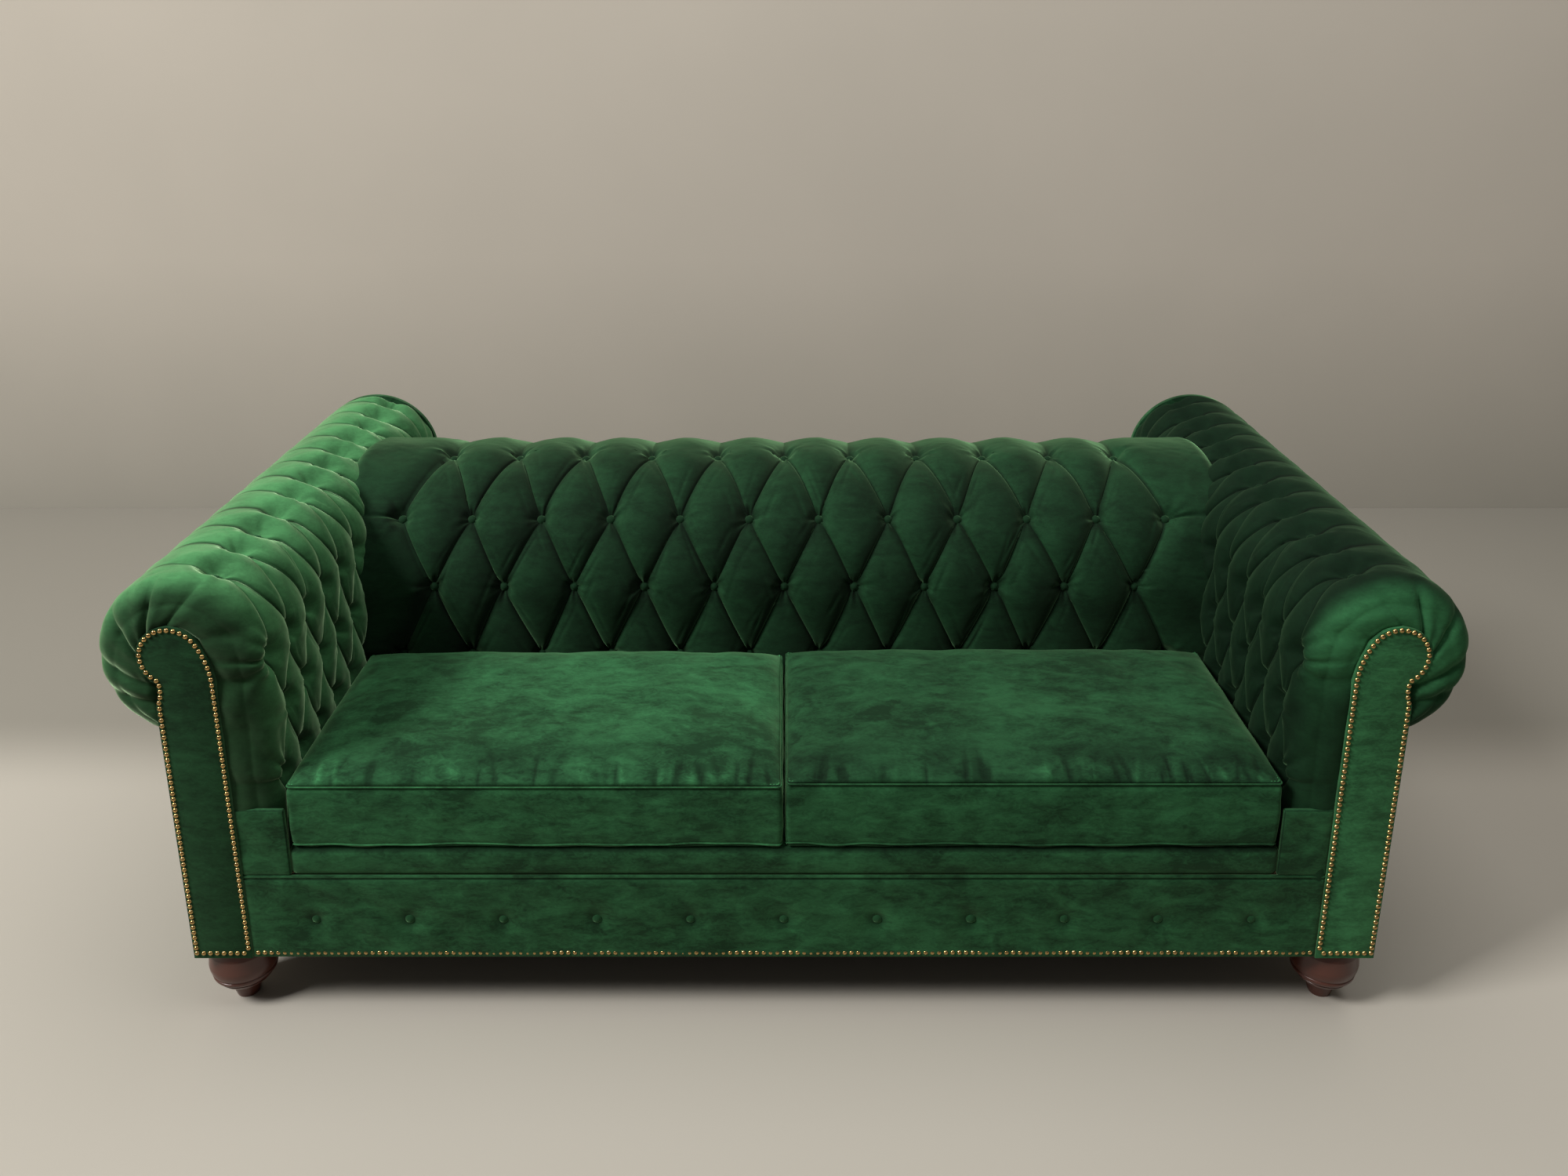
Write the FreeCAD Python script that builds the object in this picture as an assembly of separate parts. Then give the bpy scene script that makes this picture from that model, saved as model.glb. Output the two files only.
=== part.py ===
import FreeCAD, Part
import math
import os

# A deep-buttoned two-cushion sofa with rolled arms, in millimetres.
# +X is to the right seen from the front, +Y is the rear and +Z is up.
# The origin is on the floor, under the middle of the sofa.

# Overall sizes
overall_width = 2020.0
overall_depth = 1090.0
foot_height = 118.0
arm_height = 815.0
fit_gap = 0.3

# Arms
arm_width = 182.0
arm_roll_radius = 141.0
arm_pad_thickness = 87.0
arm_pad_edge_radius = 22.0
arm_core_drop = 145.0
arm_panel_thickness = 5.0
arm_top_rail_height = 30.0
arm_tack_rail_width = 25.0
arm_tack_rail_height = 40.0
arm_tack_rail_lift = 30.0

# Scroll panels at the front of the arms
scroll_panel_width = 100.0
scroll_panel_thickness = 12.0
scroll_head_radius = 53.5
scroll_head_inset = 33.0
scroll_head_rise = 13.0
scroll_shoulder_drop = 47.0
scroll_neck_angle = 60.0
scroll_neck_fall = 40.0
scroll_neck_hollow = 3.0
rear_cap_inset = 3.0

# Back
back_front_reach = 485.0
back_roll_radius = 262.0
back_crest_height = 797.0
back_foot_lift = 38.0
back_foot_forward = 12.0
back_rear_edge_rise = 21.0
back_panel_thickness = 12.0
back_end_overhang = 72.0
back_core_depth = 65.0
back_core_top_cover = 107.0
back_core_slope_run = 100.0
back_core_rear_run = 200.0
back_core_rear_ledge = 9.0
rib_thickness = 18.0
rib_end_gap = 67.4
rib_count = 5
rib_hole_radius = 90.0
top_board_thickness = 18.0
back_rail_width = 24.7
back_rail_height = 40.0

# Deep buttoning
button_radius = 9.0
button_crown = 6.0
tuft_depth = 27.0
tuft_mouth_radius = 25.0
tuft_floor_radius = 10.0
tuft_rim_rise = 6.0
tuft_seam_turn = 37.0
back_tuft_end_gap = 58.0
back_tuft_row_counts = (11, 12, 11, 12)
back_top_tuft_angle = 3.0
back_second_tuft_angle = 47.0
back_third_tuft_angle = 80.0
back_low_tuft_rise = 102.0
arm_tuft_angle = 18.5
arm_tuft_start = 95.0
arm_tuft_rear_gap = 34.2
arm_top_tuft_count = 12
arm_side_tuft_count = 5
arm_side_row_count = 3
arm_side_row_drop = 9.0
arm_side_row_pitch = 110.0

# Base frame
rail_height = 150.0
rail_thickness = 25.0
stretcher_width = 40.0
stretcher_spacing = 600.0
stretcher_count = 2
corner_block_size = 99.0
corner_block_height = 40.0
dust_cover_thickness = 1.5
dust_cover_hole_gap = 1.0
screw_radius = 2.5
screw_length = 60.0
screw_steps = (0.6, 0.9)

# Seat
deck_lip_rise = 55.0
deck_lip_depth = 71.0
deck_lip_setback = 4.0
deck_lip_edge_radius = 16.0
deck_ledge_gap = 9.0
spring_wire_radius = 2.0
spring_width = 50.0
spring_bend_radius = 12.0
spring_count = 8
clip_width = 24.0
clip_depth = 16.0
clip_height = 2.0
webbing_width = 50.0
webbing_thickness = 2.4
arm_webbing_spacing = 150.0
arm_webbing_count = 6
back_webbing_count = 12

# Front covering
facing_setback = 2.0
front_band_height = 125.0
front_band_setback = 3.0
welt_radius = 3.0
welt_lift = 10.0
rail_button_end_gap = 114.7
rail_button_count = 11
rail_button_rise = 75.0
rail_button_crown = 4.0
rail_tuft_depth = 5.0
rail_tuft_mouth_radius = 16.0

# Loose cushions
cushion_side_gap = 4.0
cushion_middle_gap = 3.0
cushion_rear_gap = 4.0
cushion_front_setback = 4.0
cushion_border_height = 112.0
cushion_crown = 36.0
cushion_side_draw = 7.0
cushion_corner_inset = 9.0
cushion_crown_steps = (0.0, 0.25, 0.55, 0.9)
cushion_crown_power = 2.4
cushion_cover_thickness = 3.0
cushion_lift = 0.3

# Nails
nail_radius = 4.0
nail_crown = 2.8
nail_inset = 5.5
scroll_nail_pitch = 10.4
base_nail_pitch = 11.5
base_nail_lift = 10.0

# Feet
foot_centre_inset = 55.0
foot_front_inset = 62.0
foot_pad_radius = 19.0
foot_neck_radius = 26.5
foot_low_ring_radius = 47.5
foot_high_ring_radius = 54.0
foot_radius = 58.0
foot_shoulder_radius = 55.0
foot_top_radius = 48.0
foot_cone_height = 24.0
foot_flare = 3.5
foot_low_ring_height = 15.0
foot_high_ring_height = 9.5
foot_groove_width = 3.5
foot_groove_depth = 1.2
foot_groove_step = 0.5
foot_belly_height = 16.5
foot_shoulder_height = 23.5
foot_ring_swell = 2.5
foot_belly_swell = 1.0
foot_bolt_radius = 4.0
foot_bolt_below = 45.0
foot_bolt_above = 34.0
tee_nut_radius = 10.0
tee_nut_wall = 2.0
tee_nut_depth = 12.0

# Places worked out from the sizes above
V = FreeCAD.Vector
AXIS_X = V(1, 0, 0)
AXIS_Y = V(0, 1, 0)
AXIS_Z = V(0, 0, 1)
outer_x = overall_width / 2
front_y = nail_crown - overall_depth / 2
rear_y = overall_depth / 2
inner_x = outer_x - arm_width
base_z = foot_height
rail_top = base_z + rail_height
welt_z = rail_top + welt_lift
deck_top = welt_z + deck_lip_rise
pad_front_y = front_y + scroll_panel_thickness
pad_rear_y = rear_y - back_panel_thickness
board_front_y = pad_front_y + rail_thickness
board_rear_y = pad_rear_y - rail_thickness
roll_x = inner_x + arm_roll_radius
roll_z = arm_height - arm_roll_radius
roll_under_z = roll_z - math.sqrt(arm_roll_radius ** 2 - (outer_x - roll_x) ** 2)
arm_core_top = arm_height - arm_core_drop
scroll_head_z = roll_z + scroll_head_rise
core_in_x = inner_x + arm_pad_thickness
core_out_x = outer_x - arm_panel_thickness - fit_gap
pad_bottom_z = rail_top + 2 * fit_gap
rail_end_x = core_in_x - fit_gap
back_face_y = front_y + back_front_reach
back_centre_y = back_face_y + back_roll_radius
back_centre_z = back_crest_height - back_roll_radius
back_foot_z = rail_top + back_foot_lift
back_rear_edge_z = roll_under_z + back_rear_edge_rise
back_core_y = back_face_y + back_core_depth
back_core_shelf_y = back_core_y + back_core_slope_run
back_core_shelf_z = back_crest_height - back_core_top_cover
back_core_ledge_y = pad_rear_y - back_core_rear_ledge
back_core_rear_y = back_core_ledge_y - back_core_rear_run
back_half_x = inner_x - 2 * fit_gap
back_tuft_pitch = 2 * (inner_x - back_tuft_end_gap) / (max(back_tuft_row_counts) - 1)
arm_tuft_reach = pad_rear_y - arm_tuft_rear_gap - front_y - arm_tuft_start
arm_tuft_pitch = arm_tuft_reach / (arm_top_tuft_count - 1)
rib_spacing = 2 * (back_half_x - rib_end_gap) / (rib_count - 1)
spring_spacing = rib_spacing / 2
seat_rail_y = back_core_y + webbing_thickness + 2 * fit_gap
lip_front_y = front_y + deck_lip_setback
lip_rear_y = lip_front_y + deck_lip_depth
spring_z = rail_top + clip_height + spring_wire_radius + fit_gap
deck_bottom_z = spring_z + spring_wire_radius + fit_gap
cushion_bottom_z = deck_top + cushion_lift
cushion_front_y = front_y + cushion_front_setback
cushion_rear_y = back_face_y - back_foot_forward - cushion_rear_gap
foot_x = outer_x - foot_centre_inset
foot_y = front_y + foot_front_inset
facing_half_x = outer_x - scroll_panel_width - fit_gap
facing_y = front_y + facing_setback
rail_button_pitch = 2 * (facing_half_x - rail_button_end_gap) / (rail_button_count - 1)


def box(x0, x1, y0, y1, z0, z1):
    """Return a box between two corners."""
    return Part.makeBox(x1 - x0, y1 - y0, z1 - z0, V(x0, y0, z0))


def cylinder(radius, start, axis, length):
    """Return a round bar from a point along an axis."""
    return Part.makeCylinder(radius, length, start, axis)


def mirrored(shape):
    """Return the same piece on the other side of the sofa."""
    return shape.mirror(V(0, 0, 0), AXIS_X)


def both_sides(shape):
    """Return a piece and its mirror image."""
    return [shape, mirrored(shape)]


def prism_yz(points, x0, x1):
    """Return a plate with a side outline, from one X to another."""
    corners = [V(x0, y, z) for y, z in points]
    face = Part.Face(Part.makePolygon(corners + corners[:1]))
    return face.extrude(V(x1 - x0, 0, 0))


def prism_from_edges(edges, travel):
    """Return the solid that a closed outline sweeps along a straight line."""
    wire = Part.Wire(Part.__sortEdges__(edges))
    return Part.Face(wire).extrude(travel)


def line(a, b):
    """Return a straight edge."""
    return Part.LineSegment(a, b).toShape()


def arc(a, middle, b):
    """Return an arc through three points."""
    return Part.Arc(a, middle, b).toShape()


def dome(radius, crown, base, direction):
    """Return a shallow round-topped head that stands on a flat face."""
    ball = (radius ** 2 + crown ** 2) / (2 * crown)
    latitude = math.degrees(math.asin((ball - crown) / ball))
    centre = base - direction * (ball - crown)
    return Part.makeSphere(ball, centre, direction, latitude, 90, 360)


def save(name, shapes):
    """Write the solids of one node."""
    solids = [solid for shape in shapes for solid in shape.Solids]
    Part.makeCompound(solids).exportStep("parts/" + name + ".step")


def arm_envelope(grow, y0, y1, low):
    """Return the filled outer form of the right arm's padding."""
    radius = arm_roll_radius + grow
    face_x = roll_x - radius
    under_z = roll_z - math.sqrt(radius ** 2 - (outer_x - roll_x) ** 2)

    def on_roll(degrees):
        turn = math.radians(degrees)
        return V(roll_x + radius * math.cos(turn), y0, roll_z + radius * math.sin(turn))

    under = V(outer_x, y0, under_z)
    foot = V(outer_x, y0, low)
    edges = [
        line(V(face_x, y0, low), on_roll(180)),
        arc(on_roll(180), on_roll(135), on_roll(90)),
        arc(on_roll(90), on_roll(45), on_roll(0)),
        arc(on_roll(0), on_roll(-40), under),
        line(under, foot),
        line(foot, V(face_x, y0, low)),
    ]
    return prism_from_edges(edges, V(0, y1 - y0, 0))


def arm_tufts():
    """Return the surface point and outward direction of each tuft of the right arm."""
    tufts = []
    turn = math.radians(90 + arm_tuft_angle)
    out = V(math.cos(turn), 0, math.sin(turn))
    for count in range(arm_top_tuft_count):
        y = front_y + arm_tuft_start + count * arm_tuft_pitch
        tufts.append((V(roll_x, y, roll_z) + out * arm_roll_radius, out))
    for row in range(arm_side_row_count):
        z = roll_z - arm_side_row_drop - row * arm_side_row_pitch
        shift = 0.0 if row % 2 else -arm_tuft_pitch / 2
        for count in range(arm_side_tuft_count):
            y = front_y + arm_tuft_start + shift + count * arm_tuft_pitch
            tufts.append((V(inner_x, y, z), -AXIS_X))
    return tufts


def back_tufts():
    """Return the surface point and outward direction of each tuft of the back."""
    rows = []
    for angle in (back_top_tuft_angle, back_second_tuft_angle, back_third_tuft_angle):
        turn = math.radians(90 + angle)
        out = V(0, math.cos(turn), math.sin(turn))
        rows.append((V(0, back_centre_y, back_centre_z) + out * back_roll_radius, out))
    low_z = deck_top + back_low_tuft_rise
    lean = back_foot_forward / (back_centre_z - back_foot_z)
    low_place = V(0, back_face_y - lean * (back_centre_z - low_z), low_z)
    rows.append((low_place, V(0, -1, lean).normalize()))
    tufts = []
    for (place, out), count in zip(rows, back_tuft_row_counts):
        for step in range(count):
            x = (step - (count - 1) / 2) * back_tuft_pitch
            tufts.append((place + AXIS_X * x, out))
    return tufts


def tuft_hollow(place, out, depth, mouth):
    """Return the hollow that a sewn-down button pulls into the padding.

    The cone is turned on its axis, so that its own seam line crosses the padding's edges at a slant.
    """
    start = place - out * depth
    length = depth + tuft_rim_rise
    rim = tuft_floor_radius + (mouth - tuft_floor_radius) * length / depth
    hollow = Part.makeCone(tuft_floor_radius, rim, length, start, out)
    hollow.rotate(start, out, tuft_seam_turn)
    return hollow


def tufted(pad, tufts):
    """Return padding with a hollow at each tuft."""
    for place, out in tufts:
        pad = pad.cut(tuft_hollow(place, out, tuft_depth, tuft_mouth_radius))
    return pad


def tuft_buttons(tufts):
    """Return the covered buttons at the bottom of the hollows."""
    buttons = []
    for place, out in tufts:
        buttons.append(dome(button_radius, button_crown, place - out * tuft_depth, out))
    return buttons


def arm_pad():
    """Return the right arm's padding, cut out around the arm frame."""
    pad = arm_envelope(0.0, pad_front_y, pad_rear_y, pad_bottom_z)
    rim = []
    for edge in pad.Edges:
        ends = edge.BoundBox
        if ends.YMax > pad_front_y + fit_gap or ends.ZMax < roll_under_z + fit_gap:
            continue
        if ends.XMin > outer_x - fit_gap and ends.XMax < outer_x + fit_gap:
            continue
        rim.append(edge)
    pad = pad.makeFillet(arm_pad_edge_radius, rim)
    core = box(core_in_x, outer_x + fit_gap, pad_front_y, pad_rear_y, pad_bottom_z, roll_under_z)
    top = box(core_in_x, core_out_x + fit_gap, pad_front_y, pad_rear_y, roll_under_z, arm_core_top)
    return tufted(pad.cut(Part.makeCompound([core, top])), arm_tufts())


def make_arm_frame():
    """Write the boards, rails and webbing inside both arms."""
    inside_x = core_in_x + webbing_thickness + 2 * fit_gap
    out_x = core_out_x
    top_z = arm_core_top - fit_gap
    front = box(core_in_x, out_x, pad_front_y, board_front_y, base_z, top_z)
    rear = box(core_in_x, out_x, board_rear_y, pad_rear_y, base_z, top_z)
    rail = box(inside_x, out_x, board_front_y, board_rear_y, top_z - arm_top_rail_height, top_z)
    tack_z = rail_top + arm_tack_rail_lift
    tack = box(inside_x, inside_x + arm_tack_rail_width, board_front_y, board_rear_y,
               tack_z, tack_z + arm_tack_rail_height)
    save("arm_front_boards", both_sides(front))
    save("arm_rear_boards", both_sides(rear))
    save("arm_top_rails", both_sides(rail))
    save("arm_tack_rails", both_sides(tack))
    straps = []
    for count in range(arm_webbing_count):
        y = (count - (arm_webbing_count - 1) / 2) * arm_webbing_spacing
        strap_x = core_in_x + fit_gap
        y0 = y - webbing_width / 2
        strap = box(strap_x, strap_x + webbing_thickness, y0, y0 + webbing_width, tack_z, top_z)
        straps.extend(both_sides(strap))
    save("arm_webbing", straps)


def make_arm_covering():
    """Write the padding, buttons and outer panels of both arms."""
    pad = arm_pad()
    save("arm_pad_right", [pad])
    save("arm_pad_left", [mirrored(pad)])
    buttons = tuft_buttons(arm_tufts())
    save("arm_buttons_right", buttons)
    save("arm_buttons_left", [mirrored(button) for button in buttons])
    panel_x = outer_x - arm_panel_thickness
    panel = box(panel_x, outer_x, pad_front_y, pad_rear_y, base_z, roll_under_z - fit_gap)
    save("outer_arm_panel_right", [panel])
    save("outer_arm_panel_left", [mirrored(panel)])
    cap_low = roll_under_z + fit_gap
    cap = arm_envelope(-rear_cap_inset, pad_rear_y, rear_y, cap_low)
    save("arm_rear_cap_right", [cap])
    save("arm_rear_cap_left", [mirrored(cap)])


def scroll_edges(inset, low, y):
    """Return the edges of the scroll panel's outline, drawn in by an inset, without its foot."""
    edge_x = outer_x - scroll_panel_width
    head = V(outer_x - scroll_head_inset, y, scroll_head_z)
    head_side = head.x - edge_x
    drop = scroll_shoulder_drop
    spread = scroll_head_radius
    shoulder = (head_side ** 2 + drop ** 2 - spread ** 2) / (2 * (head_side - spread))
    shoulder_z = head.z - drop
    shoulder_centre = V(edge_x + shoulder, y, shoulder_z)
    run = (head - shoulder_centre).normalize()
    join = shoulder_centre + run * (shoulder - inset)
    start = V(edge_x + inset, y, shoulder_z)
    half_turn = (math.pi - math.atan2(run.z, run.x)) / 2
    mid_turn = math.pi - half_turn
    mid = shoulder_centre + V(math.cos(mid_turn), 0, math.sin(mid_turn)) * (shoulder - inset)

    def on_head(degrees):
        turn = math.radians(degrees)
        return head + V(math.cos(turn), 0, math.sin(turn)) * (scroll_head_radius - inset)

    join_angle = math.degrees(math.atan2(run.z, run.x))
    neck = on_head(-scroll_neck_angle)
    side = V(outer_x - inset, y, neck.z - scroll_neck_fall)
    hollow = (neck + side) * 0.5 - AXIS_X * scroll_neck_hollow
    return [
        line(V(edge_x + inset, y, low), start),
        arc(start, mid, join),
        arc(join, on_head((join_angle + 45) / 2), on_head(45)),
        arc(on_head(45), on_head(0), neck),
        arc(neck, hollow, side),
        line(side, V(outer_x - inset, y, low)),
    ]


def make_scroll_panels():
    """Write the scroll-shaped panels at the front of the arms, with their nails."""
    edges = scroll_edges(0.0, base_z, front_y)
    foot = line(V(outer_x, front_y, base_z), V(outer_x - scroll_panel_width, front_y, base_z))
    panel = prism_from_edges(edges + [foot], V(0, scroll_panel_thickness, 0))
    save("scroll_panel_right", [panel])
    save("scroll_panel_left", [mirrored(panel)])
    first_z = base_z + base_nail_lift + scroll_nail_pitch
    path = Part.Wire(Part.__sortEdges__(scroll_edges(nail_inset, first_z, front_y)))
    steps = int(path.Length / scroll_nail_pitch) + 1
    points = path.discretize(Number=steps)
    nails = [dome(nail_radius, nail_crown, point, -AXIS_Y) for point in points]
    save("scroll_nails_right", nails)
    save("scroll_nails_left", [mirrored(nail) for nail in nails])


def back_pad():
    """Return the back's padding, with its ends fitted against the arms."""
    rear_rise = back_crest_height - back_rear_edge_z
    rear_run = pad_rear_y - back_centre_y
    rear_radius = (rear_run ** 2 + rear_rise ** 2) / (2 * rear_rise)
    half_x = inner_x + back_end_overhang

    def at(y, z):
        return V(-half_x, y, z)

    def front_arc(degrees):
        turn = math.radians(degrees)
        return at(back_centre_y + back_roll_radius * math.cos(turn),
                  back_centre_z + back_roll_radius * math.sin(turn))

    half_sweep = math.atan2(rear_rise, rear_run)
    rear_mid = at(back_centre_y + rear_radius * math.sin(half_sweep),
                  back_crest_height - rear_radius * (1 - math.cos(half_sweep)))
    foot_front = at(back_face_y - back_foot_forward, back_foot_z)
    rear_end = at(pad_rear_y, back_rear_edge_z)
    inner = [
        rear_end,
        at(back_core_ledge_y, back_rear_edge_z),
        at(back_core_rear_y, back_core_shelf_z),
        at(back_core_shelf_y, back_core_shelf_z),
        at(back_core_y, back_rear_edge_z),
        at(back_core_y, back_foot_z),
        foot_front,
    ]
    edges = [
        line(foot_front, front_arc(180)),
        arc(front_arc(180), front_arc(135), front_arc(90)),
        arc(front_arc(90), rear_mid, rear_end),
    ]
    edges.extend(line(a, b) for a, b in zip(inner, inner[1:]))
    pad = prism_from_edges(edges, V(2 * half_x, 0, 0))
    arm = arm_envelope(2 * fit_gap, front_y, rear_y, pad_bottom_z)
    return tufted(pad.cut(Part.makeCompound(both_sides(arm))), back_tufts())


def core_line(inset):
    """Return the front of the back's hollow core, drawn in by an inset, from foot to shelf."""
    run = back_core_slope_run
    rise = back_core_shelf_z - back_rear_edge_z
    length = math.hypot(run, rise)
    turn = (length - rise) / run
    return [
        (back_core_y + inset, back_foot_z),
        (back_core_y + inset, back_rear_edge_z - inset * (run - turn * rise) / length),
        (back_core_shelf_y + inset * rise / length, back_core_shelf_z - inset * run / length),
    ]


def make_back_frame():
    """Write the ribs, rails and webbing inside the back."""
    rise = back_core_shelf_z - back_rear_edge_z
    rib_line = core_line(webbing_thickness + 2 * fit_gap)
    board_z = back_core_shelf_z - top_board_thickness - fit_gap
    slope_drop = rib_line[2][1] - board_z
    slope_top = (rib_line[2][0] - slope_drop * back_core_slope_run / rise, board_z)
    rear_in_y = pad_rear_y - fit_gap
    rear_z = back_rear_edge_z - fit_gap
    outline = [
        (rib_line[0][0], rail_top),
        rib_line[1],
        slope_top,
        (back_core_rear_y, board_z),
        (back_core_ledge_y, rear_z),
        (rear_in_y, rear_z),
        (rear_in_y, rail_top),
    ]
    tack_y = rib_line[0][0]
    tack = box(-back_half_x, back_half_x, tack_y, tack_y + back_rail_width,
               back_foot_z, back_foot_z + back_rail_height)
    rear = box(-back_half_x, back_half_x, rear_in_y - back_rail_width, rear_in_y,
               rear_z - back_rail_height, rear_z)
    board_y = rib_line[2][0] + fit_gap
    board = box(-back_half_x, back_half_x, board_y, back_core_rear_y,
                board_z, board_z + top_board_thickness)
    hole_y = (back_core_y + pad_rear_y) / 2
    hole_z = (rail_top + board_z) / 2
    ribs = []
    for count in range(rib_count):
        x = (count - (rib_count - 1) / 2) * rib_spacing - rib_thickness / 2
        rib = prism_yz(outline, x, x + rib_thickness)
        hole = cylinder(rib_hole_radius, V(x, hole_y, hole_z), AXIS_X, rib_thickness)
        ribs.append(rib.cut(Part.makeCompound([hole, tack, rear])))
    save("back_ribs", ribs)
    save("back_tack_rail", [tack])
    save("back_rear_rail", [rear])
    save("back_top_board", [board])
    outer = core_line(fit_gap / 2)
    inner = core_line(fit_gap / 2 + webbing_thickness)
    straps = []
    for step in range(back_webbing_count):
        x = (step - (back_webbing_count - 1) / 2) * back_tuft_pitch
        strap = prism_yz(outer + inner[::-1], x - webbing_width / 2, x + webbing_width / 2)
        straps.append(strap)
    save("back_webbing", straps)


def make_back_covering():
    """Write the back's padding, its buttons and the panel behind it."""
    save("back_pad", [back_pad()])
    save("back_buttons", tuft_buttons(back_tufts()))
    panel = box(-outer_x, outer_x, pad_rear_y, rear_y, base_z, roll_under_z)
    middle = box(-inner_x, inner_x, pad_rear_y, rear_y, roll_under_z, back_rear_edge_z)
    save("outer_back_panel", [panel.fuse(middle).removeSplitter()])


def make_base_frame():
    """Write the rails, stretchers, blocks and screws of the seat frame."""
    front = box(-rail_end_x, rail_end_x, pad_front_y, board_front_y, base_z, rail_top)
    rear = box(-rail_end_x, rail_end_x, board_rear_y, pad_rear_y, base_z, rail_top)
    side_x = core_out_x - rail_thickness
    side = box(side_x, core_out_x, board_front_y, board_rear_y, base_z, rail_top)
    seat_rail_rear = seat_rail_y + rail_thickness
    seat_rail = box(-side_x, side_x, seat_rail_y, seat_rail_rear, base_z, rail_top)
    stretchers = []
    for count in range(stretcher_count):
        x = (count - (stretcher_count - 1) / 2) * stretcher_spacing - stretcher_width / 2
        high = base_z + rail_height / 2
        stretchers.append(box(x, x + stretcher_width, board_front_y, seat_rail_y, base_z, high))
        stretchers.append(box(x, x + stretcher_width, seat_rail_rear, board_rear_y, base_z, high))
    blocks = []
    screws = []
    block_x = side_x - corner_block_size
    for y0, centre_y in ((board_front_y, foot_y), (board_rear_y - corner_block_size, -foot_y)):
        block = box(block_x, side_x, y0, y0 + corner_block_size, base_z, base_z + corner_block_height)
        hole = cylinder(foot_bolt_radius + fit_gap, V(foot_x, centre_y, base_z), AXIS_Z, foot_height)
        seat_z = base_z + corner_block_height - tee_nut_depth
        seat = cylinder(foot_bolt_radius + tee_nut_wall + fit_gap, V(foot_x, centre_y, seat_z),
                        AXIS_Z, tee_nut_depth)
        screw_z = base_z + corner_block_height / 2
        for step in screw_steps:
            y = y0 + corner_block_size * step
            start = V(core_out_x, y, screw_z)
            screws.append(cylinder(screw_radius, start, -AXIS_X, screw_length))
        blocks.append(block.cut(Part.makeCompound([hole, seat])))
    holes = Part.makeCompound(screws)
    blocks = [block.cut(holes) for block in blocks]
    side = side.cut(holes)
    save("frame_front_rail", [front])
    save("frame_rear_rail", [rear])
    save("frame_side_rails", both_sides(side))
    save("frame_seat_rail", [seat_rail])
    save("frame_stretchers", stretchers)
    save("frame_corner_blocks", [part for block in blocks for part in both_sides(block)])
    save("frame_screws", [part for screw in screws for part in both_sides(screw)])


def spring_path(x, y0, y1):
    """Return the zigzag line of one flat seat spring."""
    turns = round((y1 - y0) / (2 * spring_bend_radius))
    pitch = (y1 - y0) / turns
    reach = spring_width / 2 - pitch / 2
    edges = []
    side = 1
    for count in range(turns):
        y = y0 + count * pitch
        edges.append(line(V(x - side * reach, y, spring_z), V(x + side * reach, y, spring_z)))
        tip = V(x + side * (reach + pitch / 2), y + pitch / 2, spring_z)
        after = V(x + side * reach, y + pitch, spring_z)
        edges.append(arc(V(x + side * reach, y, spring_z), tip, after))
        side = -side
    edges.append(line(V(x - side * reach, y1, spring_z), V(x + side * reach, y1, spring_z)))
    return edges


def make_seat():
    """Write the seat springs, their clips, the deck padding and its front lip."""
    y0 = board_front_y - clip_depth / 2
    y1 = seat_rail_y + clip_depth / 2
    springs = []
    clips = []
    for count in range(spring_count):
        x = (count - (spring_count - 1) / 2) * spring_spacing
        path = Part.Wire(spring_path(x, y0, y1))
        start = path.OrderedVertexes[0].Point
        ring = Part.Wire(Part.makeCircle(spring_wire_radius, start, AXIS_X))
        springs.append(path.makePipeShell([ring], True, False))
        for y in (y0, y1):
            clips.append(box(x - clip_width / 2, x + clip_width / 2, y - clip_depth / 2,
                             y + clip_depth / 2, rail_top, rail_top + clip_height))
    save("seat_springs", springs)
    save("spring_clips", clips)
    deck_x = inner_x - 2 * fit_gap
    deck_rear = back_face_y - back_foot_forward - 2 * fit_gap
    lip_low = welt_z + welt_radius + fit_gap
    lip = box(-deck_x, deck_x, lip_front_y, lip_rear_y, lip_low, deck_top)
    front_edges = [edge for edge in lip.Edges if edge.BoundBox.YMax < lip_front_y + fit_gap]
    top_edges = [edge for edge in front_edges if edge.BoundBox.ZMin > deck_top - fit_gap]
    lip = lip.makeFillet(deck_lip_edge_radius, top_edges)
    ledge = box(-deck_x, deck_x, pad_front_y, lip_rear_y, rail_top + deck_ledge_gap, lip_low)
    save("deck_lip", [lip.fuse(ledge).removeSplitter()])
    deck = box(-deck_x, deck_x, lip_rear_y + fit_gap, deck_rear, deck_bottom_z, deck_top)
    save("seat_deck_pad", [deck])


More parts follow.
